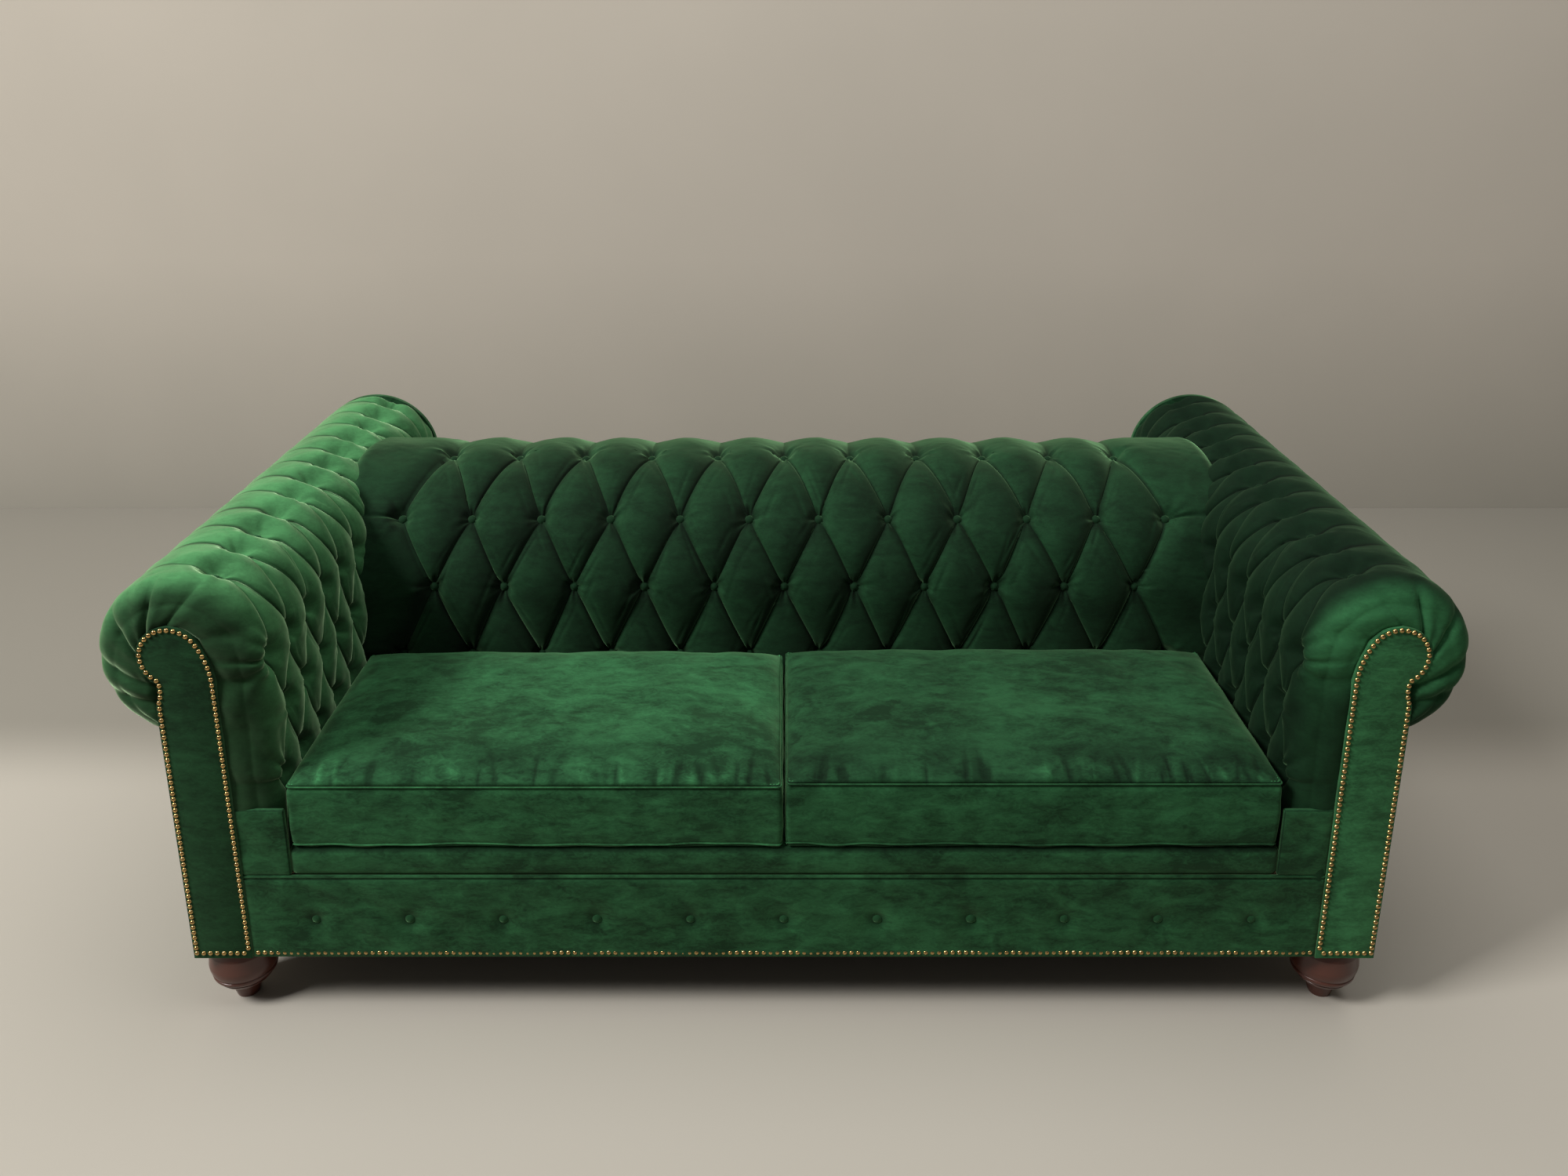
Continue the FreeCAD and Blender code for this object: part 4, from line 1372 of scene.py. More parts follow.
@dataclass
class SeatCushion:
    """One loose box cushion with a crowned top."""

    side: Side
    corner: float = 6.0 * MM
    seam_z: float = 446.0 * MM
    crown: float = 38.5 * MM
    right_rise: float = 6.0 * MM
    # the band of painted shade along the front of the top
    front_shade_at: float = 50.0 * MM
    front_shade_wide: float = 45.0 * MM
    border_swell: float = 3.5 * MM
    side_power: float = 6.0
    front_power: float = 3.0
    dome_power: float = 0.42
    columns: int = 200
    column_crowd: float = 0.28
    rows: int = 120
    row_crowd: float = 0.24
    border_rows: int = 26
    ridge: float = 1.6 * MM
    ridge_wide: float = 4.0 * MM
    waves: tuple[tuple[float, float, int], ...] = (
        (150.0 * MM, 1.6 * MM, 3),
        (55.0 * MM, 0.5 * MM, 5),
    )
    grooves: tuple[tuple[float, float], ...] = ((0.035, 2.2 * MM), (0.97, 1.6 * MM))
    groove_wide: float = 0.03
    top_seam: float = 1.3 * MM
    bottom_seam: float = 1.6 * MM
    stitch_pitch: float = 5.6 * MM
    stitch_long: float = 1.7 * MM
    stitch_thick: float = 0.9 * MM
    stitch_back: float = 3.2 * MM
    stitch_up: float = 3.4 * MM
    pucker_count: int = 46
    pucker_reach: float = 0.4
    pucker_from: float = 6.0 * MM

    def plan_steps(self) -> tuple[np.ndarray, np.ndarray]:
        """Gives grid steps across and along the cushion, closer at its edges.

        Returns:
            Shares of the half width and of the half depth, from -1 to 1.
        """
        x = np.linspace(-1.0, 1.0, self.columns + 1)
        y = np.linspace(-1.0, 1.0, self.rows + 1)
        x *= 1.0 + self.column_crowd * (1.0 - x * x)
        y *= 1.0 + self.row_crowd * (1.0 - y * y)
        return x, y

    def plan_place(
        self, u: np.ndarray, v: np.ndarray, half: np.ndarray
    ) -> tuple[np.ndarray, np.ndarray]:
        """Rounds the corners of a rectangle.

        Args:
            u: Share of the half width, from -1 to 1.
            v: Share of the half depth, from -1 to 1.
            half: Half width and half depth.

        Returns:
            The places across and along.
        """
        x, y = u * half[0], v * half[1]
        edge = np.maximum(np.abs(u), np.abs(v))
        inner = half - self.corner
        over_x = np.maximum(np.abs(x) - inner[0], 0.0)
        over_y = np.maximum(np.abs(y) - inner[1], 0.0)
        reach = np.hypot(over_x, over_y)
        limit = self.corner * np.maximum(edge, 0.0)
        scale = np.where(reach > limit, limit / np.maximum(reach, 1e-9), 1.0)
        x = np.sign(x) * (np.minimum(np.abs(x), inner[0]) + over_x * scale)
        y = np.sign(y) * (np.minimum(np.abs(y), inner[1]) + over_y * scale)
        return x, y

    def build(self, finish: bpy.types.Material) -> bpy.types.Object:
        """Makes the cushion's cover.

        Args:
            finish: Its velvet.

        Returns:
            The piece.
        """
        node = f"cushion_cover_{self.side.word}"
        low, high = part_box(node)
        centre = (low + high) / 2
        half = np.array((high.x - low.x, high.y - low.y)) / 2 - self.border_swell
        u, v = np.meshgrid(*self.plan_steps(), indexing="ij")
        x, y = self.plan_place(u, v, half)
        seed = 51 + self.side.value
        maker = MeshMaker()
        top = self.top(maker, centre, half, (u, v), (x, y), seed)
        under = low.z + 2.0 * MM + ripple(x, y, 120.0 * MM, seed + 9) * 0.8 * MM
        places = np.stack([centre.x + x, centre.y + y, under], axis=-1)
        bottom = maker.add(places, swell=0.5, painted_light=1.0)
        maker.grid(bottom, flip=True)
        rim = np.concatenate([top[:, 0], top[-1, 1:], top[-2::-1, -1], top[0, -2::-1]])
        foot = rim - top[0, 0] + bottom[0, 0]
        points = np.concatenate(maker.points)
        upper = points[rim]
        out = np.gradient(upper[:, :2], axis=0)
        out = unit(np.stack([out[:, 1], -out[:, 0]], axis=1))
        share = np.linspace(0.0, 1.0, self.border_rows + 1)[:, None]
        ring = self.border(upper, points[foot], out, share, seed)
        swell = np.broadcast_to(smooth(np.sin(math.pi * share), 0.0, 0.5), ring.shape[:2])
        border = maker.add(ring, swell=swell, painted_light=BORDER_PAINTED_LIGHT[self.side])
        maker.grid(border)
        maker.faces.extend(grid_faces(np.stack([border[0], rim]), flip=True))
        maker.faces.extend(grid_faces(np.stack([foot, border[-1]]), flip=True))
        obj = maker.build(f"cushion_{self.side.word}_cover", finish, merge=0.02 * MM)
        flat = np.append(out, np.zeros((len(out), 1)), axis=1)
        self.seam(upper + flat * 0.6 * MM, "top", self.top_seam, finish)
        self.seam(ring[-2] + flat * 1.2 * MM, "bottom", self.bottom_seam, finish)
        self.stitches(upper, out, finish)
        return place_piece(obj, f"cushion_{self.side.word}", "velvet", node)

    def top(
        self,
        maker: MeshMaker,
        centre: Vector,
        half: np.ndarray,
        shares: tuple[np.ndarray, np.ndarray],
        places: tuple[np.ndarray, np.ndarray],
        seed: int,
    ) -> np.ndarray:
        """Adds the crowned top with its gathers, painted light and shade on its puckers and a band
        of painted shade at the front.

        Args:
            maker: The mesh so far.
            centre: Middle of the cushion.
            half: Half width and half depth.
            shares: Shares of them, from -1 to 1.
            places: Places across and along.
            seed: Which random pattern.

        Returns:
            The numbers of its points.
        """
        (u, v), (x, y) = shares, places
        dome = (1.0 - np.abs(u) ** self.side_power) * (1.0 - np.abs(v) ** self.front_power)
        dome = dome**self.dome_power
        rise = self.right_rise if self.side is Side.RIGHT else 0.0
        from_front, from_side = (v + 1.0) * half[1], (1.0 - np.abs(u)) * half[0]
        pucker = self.puckers(x, from_front, seed)
        wave = sum(ripple(x, y, wide, seed + add) * deep for wide, deep, add in self.waves)
        inside = smooth(dome, 0.0, 0.35)
        z = self.seam_z + rise + (self.crown - 0.6 * rise) * dome + (wave + pucker) * inside
        z += pucker * (1.0 - inside) * smooth(from_front, 0.0, 6.0 * MM)
        z += self.ridge * bell(np.minimum(from_front, from_side) / self.ridge_wide)
        # painted shade: a darker band along the front of the top
        front_shade = bell((from_front - self.front_shade_at) / self.front_shade_wide)
        front_shade *= np.clip(0.75 + 0.45 * ripple(x, y, 170.0 * MM, seed + 21), 0.15, 1.1)
        # painted light and shade: raised puckers lighter, sunken ones darker
        top = maker.add(
            np.stack([centre.x + x, centre.y + y, z], axis=-1),
            swell=smooth(dome, 0.0, 0.3),
            painted_light=np.clip(1.0 + pucker / (3.4 * MM) - 0.42 * front_shade, 0.35, 1.9),
        )
        maker.grid(top)
        return top

    def border(
        self, upper: np.ndarray, lower: np.ndarray, out: np.ndarray, share: np.ndarray, seed: int
    ) -> np.ndarray:
        """Gives the swollen border between the top and the bottom seam.

        Args:
            upper: Places along the top edge.
            lower: The places under them.
            out: Directions away from the cushion.
            share: Steps from the top edge down.
            seed: Which random pattern.

        Returns:
            Places, by step and along the edge.
        """
        run = run_along(upper[:, :2])
        ring = upper[None] + (lower - upper)[None] * share[..., None]
        shade = ripple(run[None, :], share * 0.11, 70.0 * MM, seed + 13)
        swell = self.border_swell * np.sin(math.pi * share) ** 0.45
        swell = swell + (1.1 * MM * shade) * np.sin(math.pi * share)
        for at, deep in self.grooves:
            swell -= deep * bell((share - at) / self.groove_wide)
        ring[..., :2] += out[None] * swell[..., None]
        sag = ripple(run, np.zeros(len(run)), 90.0 * MM, seed + 17)[None, :]
        ring[..., 2] -= 1.2 * MM * sag * smooth(share, 0.6, 1.0)
        return ring

    def seam(self, path: np.ndarray, word: str, radius: float, finish: bpy.types.Material) -> None:
        """Adds the rounded ridge of a seam.

        Args:
            path: Places along the seam.
            word: Which seam it is.
            radius: Radius of the ridge.
            finish: Its velvet.
        """
        maker = MeshMaker()
        across = unit(np.cross(unit(np.gradient(path, axis=0)), UP))
        turns = np.linspace(0.0, 2.0 * math.pi, 7)[None, :, None]
        round_it = across[:, None] * np.cos(turns) + UP * np.sin(turns)
        # painted highlight: the seam's ridge is painted lighter
        maker.grid(maker.add(path[:, None] + radius * round_it, swell=1.0, painted_light=1.5))
        obj = maker.build(f"cushion_{self.side.word}_{word}_seam", finish, merge=0.01 * MM)
        place_piece(obj, f"cushion_{self.side.word}", "velvet")

    def stitches(self, path: np.ndarray, out: np.ndarray, finish: bpy.types.Material) -> None:
        """Adds the row of stitches above the top seam.

        Args:
            path: Places along the seam.
            out: Directions away from the cushion there.
            finish: Its velvet.
        """
        run = run_along(path)
        turns = np.linspace(0.0, 2.0 * math.pi, 6)[:, None]
        maker = MeshMaker()
        for at in np.arange(2.0 * MM, run[-1], self.stitch_pitch):
            spot = np.array([np.interp(at, run, path[:, k]) for k in range(3)])
            way = np.array([np.interp(at, run, out[:, k]) for k in range(2)])
            way = np.append(unit(way), 0.0)
            along = np.array([-way[1], way[0], 0.0])
            middle = spot - way * self.stitch_back + UP * self.stitch_up
            circle = self.stitch_thick * (np.cos(turns) * way + np.sin(turns) * UP)
            rings = [
                middle + along * share * self.stitch_long + wide * circle
                for share, wide in ((-1.0, 0.3), (-0.6, 1.0), (0.6, 1.0), (1.0, 0.3))
            ]
            # painted highlight: the stitches are painted three times lighter
            maker.grid(maker.add(np.stack(rings), swell=1.0, painted_light=3.0))
        obj = maker.build(f"cushion_{self.side.word}_stitches", finish, merge=0.005 * MM)
        place_piece(obj, f"cushion_{self.side.word}", "velvet")

    def puckers(self, x: np.ndarray, away: np.ndarray, seed: int) -> np.ndarray:
        """Gives the little folds that the front seam gathers.

        Args:
            x: Place along the seam.
            away: Distance back from the seam.
            seed: Which random pattern.

        Returns:
            Heights of the folds.
        """
        draw = np.random.default_rng(seed)
        folds = np.zeros(x.shape)
        for _ in range(self.pucker_count):
            at = draw.uniform(-self.pucker_reach, self.pucker_reach)
            wide = draw.uniform(3.0, 8.0) * MM
            long = draw.uniform(12.0, 48.0) * MM
            lean = draw.uniform(-0.3, 0.3)
            deep = draw.uniform(-3.4, 3.2) * MM
            across = (x - at - lean * away) / wide
            folds += deep * bell(across) * bell((away - self.pucker_from) / long)
        return folds


@dataclass
class SoftBox:
    """A stuffed strip or panel with rounded edges, lightly uneven."""

    low: Vector
    high: Vector
    edge: float = 4.0 * MM
    cell: float = 8.0 * MM
    puff: float = 0.0
    rough: float = 0.5 * MM
    seed: int = 5

    def build(
        self,
        name: str,
        finish: bpy.types.Material,
        warp: Callable[[np.ndarray], np.ndarray] | None = None,
    ) -> bpy.types.Object:
        """Makes the piece.

        Args:
            name: Its name.
            finish: Its material.
            warp: Optional function that moves the points, given as an array.

        Returns:
            The piece.
        """
        maker = MeshMaker()
        low, high = np.array(self.low), np.array(self.high)
        inner_low, inner_high = low + self.edge, high - self.edge
        for axis in range(3):
            a, b = (axis + 1) % 3, (axis + 2) % 3
            steps = [self.steps(low[k], high[k]) for k in (a, b)]
            first, second = np.meshgrid(*steps, indexing="ij")
            for at, flip in ((low[axis], True), (high[axis], False)):
                grid = np.zeros(first.shape + (3,))
                grid[..., a], grid[..., b], grid[..., axis] = first, second, at
                core = np.clip(grid, inner_low, inner_high)
                out = unit(grid - core)
                grid = core + out * self.edge
                in_first = np.minimum(first - low[a], high[a] - first)
                inside = np.minimum(in_first, np.minimum(second - low[b], high[b] - second))
                fade = smooth(inside, 0.0, 3.0 * self.edge)
                wave = ripple(first + 0.3 * axis, second, 70.0 * MM, self.seed + axis) * self.rough
                grid += out * ((self.puff + wave) * fade)[..., None]
                swell = smooth(inside, 0.0, 2.0 * self.edge)
                maker.grid(maker.add(grid, swell=swell, painted_light=1.0), flip=flip)
        if warp:
            maker.points = [warp(part) for part in maker.points]
        return maker.build(name, finish, merge=0.01 * MM)

    def steps(self, low: float, high: float) -> np.ndarray:
        """Gives grid steps along one side, fine where it rounds.

        Args:
            low: Where the side starts.
            high: Where it ends.

        Returns:
            The places along the side.
        """
        edge = np.array([0.0, 0.15, 0.4, 0.7, 1.0]) * self.edge
        count = max(2, round((high - low) / self.cell) + 1)
        inside = np.linspace(low + self.edge, high - self.edge, count)
        return np.concatenate([low + edge[:-1], inside, (high - edge[:-1])[::-1]])


@dataclass(frozen=True)
class VelvetLook:
    """How one covering's velvet is coloured and shines, lighter or darker by painted light and
    shade.
    """

    # painted light: a lighter or darker copy of the same velvet for each piece
    tone: float = 1.0
    sheen: float = 0.6
    contrast: float = 1.0
    shaped: bool = True
    middle: tuple[float, float, float] = (0.0105, 0.0470, 0.0175)
    tint: tuple[float, float, float] = (0.40, 0.82, 0.38)
    # painted shade along the pleats: how far it reaches in swell and how light the pleats stay
    crease_shade_width: float = 0.3
    crease_shade_tone: float = 0.35


# painted light and shade: each piece gets a lighter or darker copy of the same velvet; the left arm
# also gets a paler colour and sheen tint for its lit look
VELVETS = {
    "back": VelvetLook(tone=0.36, sheen=0.58, contrast=0.45),
    "arm_left": VelvetLook(
        tone=2.6,
        sheen=0.8,
        contrast=0.3,
        middle=(0.0130, 0.0455, 0.0165),
        tint=(0.60, 0.88, 0.50),
        crease_shade_tone=0.12,
    ),
    "arm_right": VelvetLook(tone=0.27, sheen=0.14, contrast=0.3, crease_shade_tone=0.25),
    "cushion_left": VelvetLook(tone=1.55, sheen=0.45, contrast=0.7),
    "cushion_right": VelvetLook(tone=0.95, sheen=0.26, contrast=0.7),
    "panel_left": VelvetLook(tone=0.75, sheen=0.55, contrast=0.6),
    "panel_right": VelvetLook(tone=2.2, sheen=0.8, contrast=0.6),
    "front": VelvetLook(tone=1.2, sheen=0.55, contrast=0.75),
    "arm_buttons_left": VelvetLook(tone=1.5, sheen=0.7, contrast=0.2, shaped=False),
    "arm_buttons_right": VelvetLook(tone=0.33, sheen=0.2, contrast=0.2, shaped=False),
    "back_buttons": VelvetLook(tone=0.5, sheen=0.5, contrast=0.2, shaped=False),
    "front_rail_buttons": VelvetLook(tone=1.0, sheen=0.6, contrast=0.2, shaped=False),
}


class Finishes:
    """All the materials, made once."""

    def __init__(self) -> None:
        """Makes the materials."""
        self.velvets: dict[str, bpy.types.Material] = {}
        self.group = nap_group()
        self.deck = plain("deck_cloth_finish", (0.03, 0.1, 0.05), 0.9)
        self.foam = plain("foam_finish", (0.8, 0.72, 0.5), 0.95)
        self.webbing = plain("webbing_finish", (0.2, 0.16, 0.1), 0.9)
        self.dust = plain("dust_cloth_finish", (0.015, 0.015, 0.016), 0.95)
        self.raw_wood = plain("frame_wood_finish", (0.5, 0.34, 0.19), 0.6)
        self.steel = plain("steel_finish", (0.5, 0.5, 0.52), 0.35, metal=1.0)
        self.brass = plain("antique_brass_finish", (0.47, 0.30, 0.115), 0.2, metal=1.0)
        self.stain = plain("stained_wood_finish", (0.075, 0.022, 0.014), 0.3)

    def velvet(self, name: str) -> bpy.types.Material:
        """Gives the velvet of one covering.

        Args:
            name: Which covering.

        Returns:
            The material.
        """
        if name not in self.velvets:
            self.velvets[name] = velvet_material(f"velvet_{name}", self.group, VELVETS[name])
        return self.velvets[name]


class Nodes:
    """Adds shader nodes to one tree, with their inputs set or linked."""

    def __init__(self, tree: bpy.types.NodeTree) -> None:
        """Takes up a tree.

        Args:
            tree: The tree.
        """
        self.tree = tree

    def feed(self, socket: bpy.types.NodeSocket, value: object) -> None:
        """Sets an input, or links it.

        Args:
            socket: The input.
            value: A value, or the output to link it to.
        """
        if isinstance(value, bpy.types.NodeSocket):
            self.tree.links.new(value, socket)
        else:
            socket.default_value = value

    def add(self, kind: str, inputs: dict[str | int, object], **settings: object) -> bpy.types.Node:
        """Adds a node.

        Args:
            kind: Its type, without the leading ShaderNode.
            inputs: What each of its inputs gets.
            **settings: Its own settings.

        Returns:
            The node.
        """
        node = self.tree.nodes.new(f"ShaderNode{kind}")
        for key, value in settings.items():
            setattr(node, key, value)
        for key, value in inputs.items():
            self.feed(node.inputs[key], value)
        return node

    def ramp(
        self, fac: bpy.types.NodeSocket, first: tuple[float, ...], last: tuple[float, ...]
    ) -> bpy.types.NodeSocket:
        """Adds a colour ramp with two stops.

        Args:
            fac: What drives it.
            first: Colour at 0.
            last: Colour at 1.

        Returns:
            Its colour.
        """
        node = self.add("ValToRGB", {"Fac": fac})
        for stop, colour in zip(node.color_ramp.elements, (first, last)):
            stop.color = (*colour, 1.0)
        return node.outputs["Color"]

    def object_axis(self, axis: str) -> bpy.types.NodeSocket:
        """Gives one coordinate of the piece.

        Args:
            axis: X, Y or Z.

        Returns:
            The coordinate.
        """
        coords = self.add("TexCoord", {})
        return self.add("SeparateXYZ", {"Vector": coords.outputs["Object"]}).outputs[axis]


def plain(
    name: str, colour: tuple[float, float, float], rough: float, metal: float = 0.0
) -> bpy.types.Material:
    """Makes a plain material.

    Args:
        name: Its name.
        colour: Base colour.
        rough: Roughness.
        metal: 1 for metal.

    Returns:
        The material.
    """
    material = bpy.data.materials.new(name)
    material.use_nodes = True
    shader = material.node_tree.nodes["Principled BSDF"]
    shader.inputs["Base Color"].default_value = (*colour, 1.0)
    shader.inputs["Roughness"].default_value = rough
    shader.inputs["Metallic"].default_value = metal
    return material


NAP_LAYERS = (
    (4.5, 2.0, (1.0, 1.0, 1.0), 0.6),
    (13.0, 4.0, (1.0, 1.3, 1.6), 1.4),
    (42.0, 3.0, (0.45, 1.0, 1.5), 0.8),
    (95.0, 2.0, (0.6, 1.0, 1.2), 2.2),
    (900.0, 2.0, (1.0, 1.0, 1.0), 0.0),
)


def nap_group() -> bpy.types.NodeTree:
    """Makes the shared group that gives velvet its brushed nap.

    Returns:
        The group, with a mask of how light the nap lies and a height.
    """
    group = bpy.data.node_groups.new("brushed_nap", "ShaderNodeTree")
    group.interface.new_socket("Vector", in_out="INPUT", socket_type="NodeSocketVector")
    group.interface.new_socket("Nap", in_out="OUTPUT", socket_type="NodeSocketFloat")
    group.interface.new_socket("Height", in_out="OUTPUT", socket_type="NodeSocketFloat")
    entry = group.nodes.new("NodeGroupInput").outputs["Vector"]
    result = group.nodes.new("NodeGroupOutput")
    work = Nodes(group)
    layers = []
    for scale, detail, squash, warp in NAP_LAYERS:
        vector = work.add("Mapping", {"Scale": squash, "Vector": entry}).outputs["Vector"]
        inputs = {"Scale": scale, "Detail": detail, "Distortion": warp, "Vector": vector}
        layers.append(work.add("TexNoise", inputs).outputs["Fac"])
    broad, patchy, streaks, strokes, fibre = layers
    blend = broad
    for layer, share in ((patchy, 0.5), (streaks, 0.3), (strokes, 0.2)):
        blend = work.add("Mix", {"Factor": share, "A": blend, "B": layer}).outputs["Result"]
    spread = work.add("MapRange", {"From Min": 0.41, "From Max": 0.61, "Value": blend})
    height = work.add("Mix", {"Factor": 0.6, "A": fibre, "B": streaks})
    work.feed(result.inputs["Nap"], spread.outputs["Result"])
    work.feed(result.inputs["Height"], height.outputs["Result"])
    return group


def velvet_material(
    name: str, group: bpy.types.NodeTree, look: VelvetLook
) -> bpy.types.Material:
    """Makes one velvet.

    Args:
        name: Its name.
        group: The shared nap.
        look: Its colour, painted light and shade, and sheen.

    Returns:
        The material.
    """
    material = plain(name, look.middle, 0.85)
    work = Nodes(material.node_tree)
    shader = material.node_tree.nodes["Principled BSDF"]
    coords = work.add("TexCoord", {})
    nap = material.node_tree.nodes.new("ShaderNodeGroup")
    nap.node_tree = group
    work.feed(nap.inputs["Vector"], coords.outputs["Object"])
    # painted light: the piece's tone makes a lighter or darker copy; the contrast spreads its random
    # mottling
    tones = [look.tone * (1.0 + way * look.contrast) for way in (-0.75, 0.95)]
    dark, light = (tuple(part * tone for part in look.middle) for tone in tones)
    colour = work.ramp(nap.outputs["Nap"], dark, light)
    # painted shade in the pleats where the swell is low, times the painted light and shade each
    # point carries
    if look.shaped:
        swell = work.add("Attribute", {}, attribute_name="swell").outputs["Fac"]
        painted_light = work.add("Attribute", {}, attribute_name="painted_light").outputs["Fac"]
        inputs = {"From Max": look.crease_shade_width, "To Min": look.crease_shade_tone, "Value": swell}
        crease = work.add("MapRange", inputs).outputs["Result"]
        total = work.add("Math", {0: crease, 1: painted_light}, operation="MULTIPLY").outputs["Value"]
        scaled = work.add("VectorMath", {0: colour, "Scale": total}, operation="SCALE")
        colour = scaled.outputs["Vector"]
    height = {"Strength": 0.3, "Distance": 1.0 * MM, "Height": nap.outputs["Height"]}
    work.feed(shader.inputs["Base Color"], colour)
    work.feed(shader.inputs["Normal"], work.add("Bump", height).outputs["Normal"])
    work.feed(shader.inputs["Specular IOR Level"], 0.1)
    work.feed(shader.inputs["Sheen Weight"], look.sheen)
    work.feed(shader.inputs["Sheen Roughness"], 0.36)
    work.feed(shader.inputs["Sheen Tint"], (*look.tint, 1.0))
    return material


@dataclass
class Nails:
    """Rows of domed nails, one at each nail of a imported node."""

    radius: float = 4.3 * MM
    crown: float = 3.0 * MM
    sides: int = 8
    rings: int = 3

    def build(self, node: str, name: str, finish: bpy.types.Material) -> bpy.types.Object:
        """Makes one row of nails.

        Args:
            node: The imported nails.
            name: The piece's name.
            finish: Its brass.

        Returns:
            The piece.
        """
        boxes = islands(node)
        places = [((low.x + high.x) / 2, high.y, (low.z + high.z) / 2) for low, high in boxes]
        first = self.head()
        heads = [first]
        for place in places[1:]:
            head = first.copy()
            head.data = first.data.copy()
            head.location = place
            bpy.context.collection.objects.link(head)
            heads.append(head)
        first.location = places[0]
        bpy.ops.object.select_all(action="DESELECT")
        for head in heads:
            head.select_set(True)
        bpy.context.view_layer.objects.active = first
        bpy.ops.object.join()
        bpy.ops.object.transform_apply(location=True, rotation=True, scale=True)
        bpy.ops.object.shade_smooth()
        first.name = first.data.name = name
        first.data.materials.append(finish)
        return place_piece(first, "root", "antique_brass", node)

    def head(self) -> bpy.types.Object:
        """Makes one nail head at the origin, its crown towards the front.

        Returns:
            Half of a flattened ball.
        """
        bpy.ops.object.select_all(action="DESELECT")
        bpy.ops.mesh.primitive_uv_sphere_add(
            segments=self.sides,
            ring_count=2 * self.rings,
            radius=self.radius,
            rotation=(math.pi / 2, 0.0, 0.0),
            scale=(1.0, 1.0, self.crown / self.radius),
        )
        bpy.ops.object.transform_apply(location=True, rotation=True, scale=True)
        bpy.ops.object.mode_set(mode="EDIT")
        bpy.ops.mesh.select_all(action="SELECT")
        bpy.ops.mesh.bisect(plane_co=(0.0, 0.0, 0.0), plane_no=(0.0, 1.0, 0.0), clear_outer=True)
        bpy.ops.object.mode_set(mode="OBJECT")
        return bpy.context.object


@dataclass
class ScrollPanel:
    """The flat covered panel on the front of an arm, with its scroll head."""

    side: Side
    soft_edge: float = 2.2 * MM

    def build(self, finish: bpy.types.Material) -> bpy.types.Object:
        """Makes the panel.

        Args:
            finish: Its velvet.

        Returns:
            The piece.
        """
        node = f"scroll_panel_{self.side.word}"
        obj = copy_of(node, f"scroll_front_{self.side.word}", self.soft_edge, finish)
        return place_piece(obj, "root", "velvet", node)


def no_painted_light_attributes(mesh: bpy.types.Mesh) -> None:
    """Gives a mesh the velvet's attributes, all at their plain values.

    Args:
        mesh: The mesh.
    """
    for key in ("swell", "painted_light"):
        layer = mesh.attributes.new(key, "FLOAT", "POINT")
        layer.data.foreach_set("value", np.ones(len(mesh.vertices), dtype=np.float32))


def copy_of(
    node: str, name: str, bevel: float, finish: bpy.types.Material
) -> bpy.types.Object:
    """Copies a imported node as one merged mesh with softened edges.

    Args:
        node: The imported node.
        name: Name of the copy.
        bevel: How far its edges are rounded.
        finish: Its material.

    Returns:
        The copy.
    """
    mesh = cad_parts[node].data.copy()
    mesh.materials.clear()
    obj = add_object(name, mesh)
    tidy_mesh(obj, 0.01 * MM)
    no_painted_light_attributes(mesh)
    limit = math.radians(50.0)
    apply_modifier(obj, "BEVEL", width=bevel, segments=3, limit_method="ANGLE", angle_limit=limit)
    select_only(obj)
    bpy.ops.object.shade_smooth_by_angle(angle=math.radians(40.0))
    obj.data.materials.append(finish)
    return obj


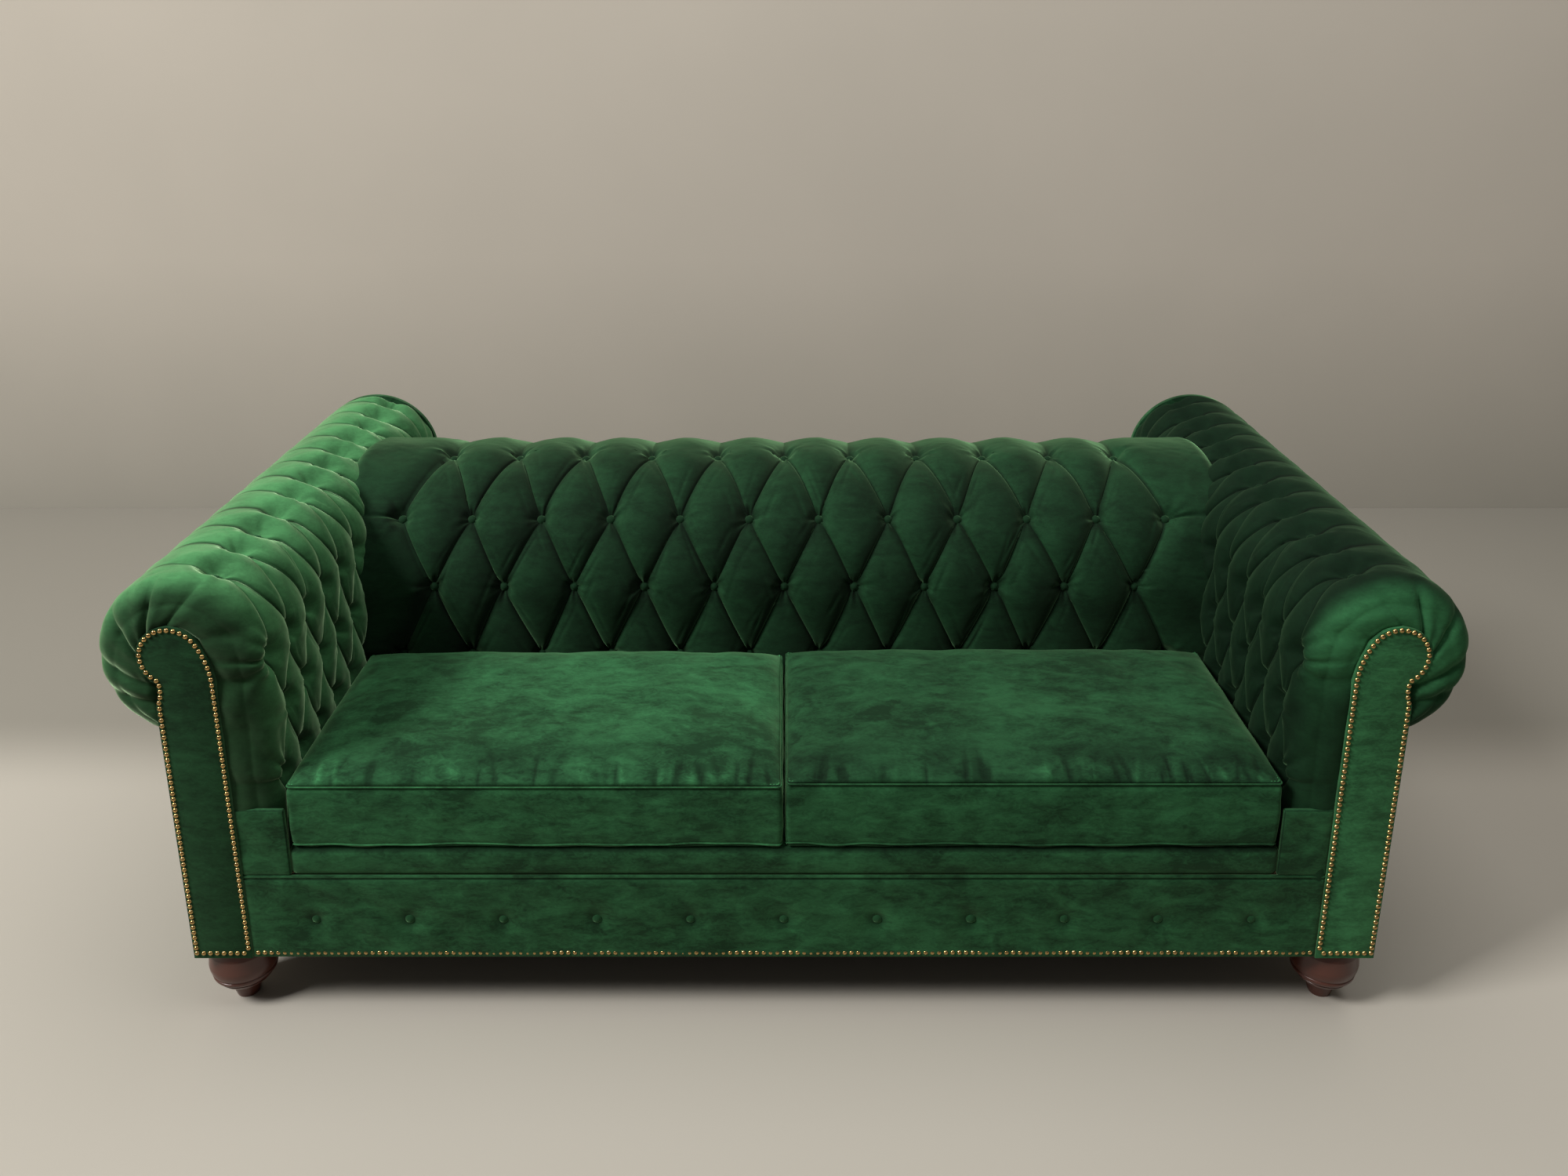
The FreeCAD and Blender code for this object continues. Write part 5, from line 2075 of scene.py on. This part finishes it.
@dataclass
class Coverings:
    """The flat, padded and piped coverings round the seat and the outside."""

    finishes: Finishes
    lip_reach: float = 3.6 * MM
    dent: float = 7.5 * MM
    dent_reach: float = 19.0 * MM
    trim_deep: float = 22.0 * MM
    panel_edge: float = 1.2 * MM
    welt_edge: float = 0.2 * MM

    def build(self) -> None:
        """Makes all the coverings."""
        self.strips()
        self.rail()
        self.rear_trim()
        low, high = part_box("seat_deck_pad")
        box = SoftBox(low, high, edge=10.0 * MM, cell=18.0 * MM, rough=1.0 * MM)
        obj = box.build("seat_deck", self.finishes.deck)
        place_piece(obj, "root", "deck_cloth", "seat_deck_pad")
        front = self.finishes.velvet("front")
        for node in OUTER_PANELS:
            obj = copy_of(node, f"{node}_cover", self.panel_edge, front)
            place_piece(obj, "root", "velvet", node)
        obj = copy_of("front_welt", "front_welt_cover", self.welt_edge, front)
        place_piece(obj, "root", "velvet", "front_welt")

    def strips(self) -> None:
        """Makes the bands at the foot of the arms and the deck lip."""
        front = self.finishes.velvet("front")
        for node, edge, puff, reach in (
            ("front_band_left", 3.0 * MM, 1.0 * MM, 0.0),
            ("front_band_right", 3.0 * MM, 1.0 * MM, 0.0),
            ("deck_lip", 14.0 * MM, 2.0 * MM, self.lip_reach),
        ):
            low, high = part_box(node)
            low.x, high.x = low.x - reach, high.x + reach
            box = SoftBox(low, high, edge, cell=9.0 * MM, puff=puff, rough=1.0 * MM)
            obj = box.build(f"{node}_cover", front)
            place_piece(obj, "root", "velvet", node)

    def rail(self) -> None:
        """Makes the padded front rail, drawn in at its buttons."""
        low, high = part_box("front_rail_pad")
        spots = [(a + b) / 2 for a, b in islands("front_rail_buttons")]

        def draw_in(points: np.ndarray) -> np.ndarray:
            """Draws the covering in at the buttons.

            Args:
                points: Its places.

            Returns:
                The places, moved.
            """
            moved = points.copy()
            for spot in spots:
                gap = np.hypot(points[..., 0] - spot.x, points[..., 2] - spot.z)
                moved[..., 1] += self.dent * np.exp(-((gap / self.dent_reach) ** 1.4))
            face = points[..., 1] < low.y + 1.5 * MM
            return np.where(face[..., None], moved, points)

        box = SoftBox(low, high, edge=3.0 * MM, cell=4.0 * MM, puff=1.6 * MM, rough=0.9 * MM)
        obj = box.build("rail_padding", self.finishes.velvet("front"), warp=draw_in)
        # painted shade in the dents round the rail's buttons, with a painted highlight on their
        # right
        shade_near(obj, spots, 0.7 * self.dent_reach, 0.05)
        place_piece(obj, "root", "velvet", "front_rail_pad")

    def rear_trim(self) -> None:
        """Makes the strip that closes the gap above the outer back panel."""
        low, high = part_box("outer_back_panel")
        top = high.z
        low.y, low.z = high.y - self.trim_deep, top - 3.0 * MM
        high.z = top + 5.0 * MM
        box = SoftBox(low, high, edge=2.5 * MM, cell=5.0 * MM, rough=0.0)
        obj = box.build("outer_back_trim", self.finishes.velvet("front"))
        place_piece(obj, "root", "velvet")


@dataclass
class Springs:
    """The zigzag seat springs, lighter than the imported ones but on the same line."""

    wire: float = 2.0 * MM
    width: float = 50.0 * MM
    bend: float = 12.0 * MM
    roundness: int = 2
    bend_steps: int = 6

    def path(self, x: float, y0: float, y1: float, z: float) -> np.ndarray:
        """Gives the line of one spring.

        Args:
            x: Its middle.
            y0: Its front end.
            y1: Its rear end.
            z: Its height.

        Returns:
            Places along its wire.
        """
        turns = round((y1 - y0) / (2 * self.bend))
        pitch = (y1 - y0) / turns
        reach = self.width / 2 - pitch / 2
        places = [(x - reach, y0, z)]
        side = 1
        for count in range(turns):
            middle = y0 + (count + 0.5) * pitch
            for turn in np.linspace(-math.pi / 2, math.pi / 2, self.bend_steps + 1):
                out = reach + pitch / 2 * math.cos(turn)
                places.append((x + side * out, middle + pitch / 2 * math.sin(turn), z))
            side = -side
        places.append((x + side * reach, y1, z))
        return np.array(places)

    def build(self, finish: bpy.types.Material) -> bpy.types.Object:
        """Makes all the springs as one piece.

        Args:
            finish: Their steel.

        Returns:
            The piece.
        """
        bpy.ops.object.select_all(action="DESELECT")
        bpy.ops.curve.primitive_nurbs_path_add()
        obj = bpy.context.object
        curve = obj.data
        curve.splines.clear()
        curve.bevel_depth = self.wire
        curve.bevel_resolution = self.roundness
        curve.use_fill_caps = True
        for low, high in islands("seat_springs"):
            middle = (low + high) / 2
            line = self.path(middle.x, low.y + self.wire, high.y - self.wire, middle.z)
            spline = curve.splines.new("POLY")
            spline.points.add(len(line) - 1)
            weighted = np.append(line, np.ones((len(line), 1)), axis=1)
            spline.points.foreach_set("co", weighted.ravel())
        bpy.ops.object.convert(target="MESH")
        obj = bpy.context.object
        bpy.ops.object.shade_smooth()
        obj.name = obj.data.name = "seat_spring_set"
        obj.data.materials.append(finish)
        return place_piece(obj, "root", "steel", "seat_springs")


def dress_packed(finishes: Finishes) -> None:
    """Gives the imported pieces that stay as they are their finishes.

    Args:
        finishes: All the materials.
    """
    looks = {
        finishes.raw_wood: WOOD_NODES,
        finishes.webbing: ("arm_webbing", "back_webbing"),
        finishes.foam: ("cushion_core_left", "cushion_core_right"),
        finishes.dust: ("dust_cover",),
        finishes.steel: ("foot_bolts", "foot_tee_nuts", "frame_screws", "spring_clips"),
        finishes.stain: ("foot_front_left", "foot_front_right", "foot_rear_left", "foot_rear_right"),
    }
    pairs = [(node, finish) for finish, nodes in looks.items() for node in nodes]
    pairs += [(node, finishes.velvet(node)) for node in BUTTON_NODES]
    for node, finish in pairs:
        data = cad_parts[node].data
        data.materials.clear()
        data.materials.append(finish)


def floor_material() -> bpy.types.Material:
    """Makes the pale floor, which turns into the darker sweep behind the sofa.

    Returns:
        The material.
    """
    material = plain("floor_finish", (0.45, 0.42, 0.365), 0.9)
    work = Nodes(material.node_tree)
    inputs = {"From Min": 0.12, "From Max": 0.46, "Value": work.object_axis("Y")}
    fade = work.add("MapRange", inputs, interpolation_type="SMOOTHSTEP").outputs["Result"]
    colour = work.ramp(fade, (0.405, 0.372, 0.317), (0.225, 0.208, 0.172))
    work.feed(material.node_tree.nodes["Principled BSDF"].inputs["Base Color"], colour)
    return material


def wall_material() -> bpy.types.Material:
    """Makes the plaster of the backdrop, with painted shade darkening it towards the floor, and
    clear from behind.

    Returns:
        The material.
    """
    material = plain("wall_finish", (0.46, 0.415, 0.35), 0.95)
    work = Nodes(material.node_tree)
    shader = material.node_tree.nodes["Principled BSDF"]
    # painted shade: the plaster darkens towards the floor
    inputs = {"From Max": 0.9, "To Max": 0.75, "Value": work.object_axis("Z")}
    fade = work.add("MapRange", inputs).outputs["Result"]
    coords = work.add("TexCoord", {}).outputs["Object"]
    noise = work.add("TexNoise", {"Scale": 1.6, "Detail": 6.0, "Vector": coords}).outputs["Fac"]
    shade = work.add("Math", {0: noise, 1: 0.25, 2: fade}, operation="MULTIPLY_ADD")
    colour = work.ramp(shade.outputs["Value"], (0.30, 0.28, 0.235), (0.50, 0.45, 0.38))
    work.feed(shader.inputs["Base Color"], colour)
    behind = work.add("NewGeometry", {}).outputs["Backfacing"]
    clear = work.add("BsdfTransparent", {}).outputs["BSDF"]
    blend = work.add("MixShader", {0: behind, 1: shader.outputs["BSDF"], 2: clear})
    surface = material.node_tree.nodes["Material Output"].inputs["Surface"]
    work.feed(surface, blend.outputs["Shader"])
    return material


@dataclass
class Studio:
    """Camera, light, floor and backdrop."""

    lens: float = 29.2186
    pitch_down: float = 16.2198
    eye: tuple[float, float, float] = (0.0, -2.369, 1.6459)
    shift_y: float = -0.12
    wall_y: float = 1.9
    room_wide: float = 12.0
    floor_deep: float = 10.0
    wall_high: float = 5.0

    def build(self) -> None:
        """Sets up the camera, the lights and the room."""
        camera = add_object("camera", bpy.data.cameras.new("camera"))
        camera.data.lens = self.lens
        camera.data.sensor_width = 36.0
        camera.data.shift_y = self.shift_y
        camera.location = self.eye
        camera.rotation_euler = (math.radians(90.0 - self.pitch_down), 0.0, 0.0)
        bpy.context.scene.camera = camera
        bpy.context.scene.view_settings.view_transform = "Standard"
        self.light("key_light", (-6.2, -3.2, 6.8), 2.4, 900.0)
        self.light("rear_light", (1.5, 4.4, 3.2), 2.0, 60.0)
        self.light("top_light", (0.9, 0.0, 4.8), 4.6, 150.0)
        world = bpy.data.worlds.new("soft_surround")
        bpy.context.scene.world = world
        world.use_nodes = True
        world.node_tree.nodes["Background"].inputs["Color"].default_value = (0.10, 0.098, 0.092, 1.0)
        self.room()

    def light(self, name: str, place: tuple[float, float, float], size: float, power: float) -> None:
        """Adds one soft light aimed at the sofa.

        Args:
            name: Its name.
            place: Where it is.
            size: Side of its square.
            power: Its watts.
        """
        lamp = bpy.data.lights.new(name, "AREA")
        lamp.energy = power
        lamp.size = size
        obj = add_object(name, lamp)
        obj.location = place
        away = Vector(place) - Vector((0.0, 0.0, 0.5))
        obj.rotation_euler = away.to_track_quat("Z", "Y").to_euler()

    def room(self) -> None:
        """Adds the floor and the wall."""
        wall_middle = (0.0, self.wall_y, self.wall_high / 2)
        self.plane("floor", floor_material(), (0.0, 0.0, 0.0), self.floor_deep, 0.0)
        self.plane("backdrop", wall_material(), wall_middle, self.wall_high, math.pi / 2)

    def plane(
        self,
        name: str,
        finish: bpy.types.Material,
        place: tuple[float, float, float],
        deep: float,
        tilt: float,
    ) -> None:
        """Adds one plane of the room.

        Args:
            name: Its name.
            finish: Its material.
            place: Its middle.
            deep: How far it goes backwards or upwards.
            tilt: How far it is turned up from lying flat.
        """
        bpy.ops.object.select_all(action="DESELECT")
        bpy.ops.mesh.primitive_plane_add(size=1.0, location=place, rotation=(tilt, 0.0, 0.0))
        obj = bpy.context.object
        obj.scale = (self.room_wide, deep, 1.0)
        bpy.ops.object.transform_apply(location=True, rotation=True, scale=True)
        obj.name = obj.data.name = name
        obj.data.materials.append(finish)


def main() -> None:
    """Builds the sofa's pieces in order."""
    logging.basicConfig(level=logging.INFO, format="%(message)s")
    finishes = Finishes()
    Back().build(finishes.velvet("back"))
    for side in Side:
        Arm(side).build(finishes.velvet(f"arm_{side.word}"))
        SeatCushion(side).build(finishes.velvet(f"cushion_{side.word}"))
        ScrollPanel(side).build(finishes.velvet(f"panel_{side.word}"))
        Nails().build(f"scroll_nails_{side.word}", f"scroll_nail_row_{side.word}", finishes.brass)
    Nails().build("base_nails", "base_nail_row", finishes.brass)
    Coverings(finishes).build()
    Springs().build(finishes.steel)
    dress_packed(finishes)
    Studio().build()


if __name__ == "__main__":
    main()
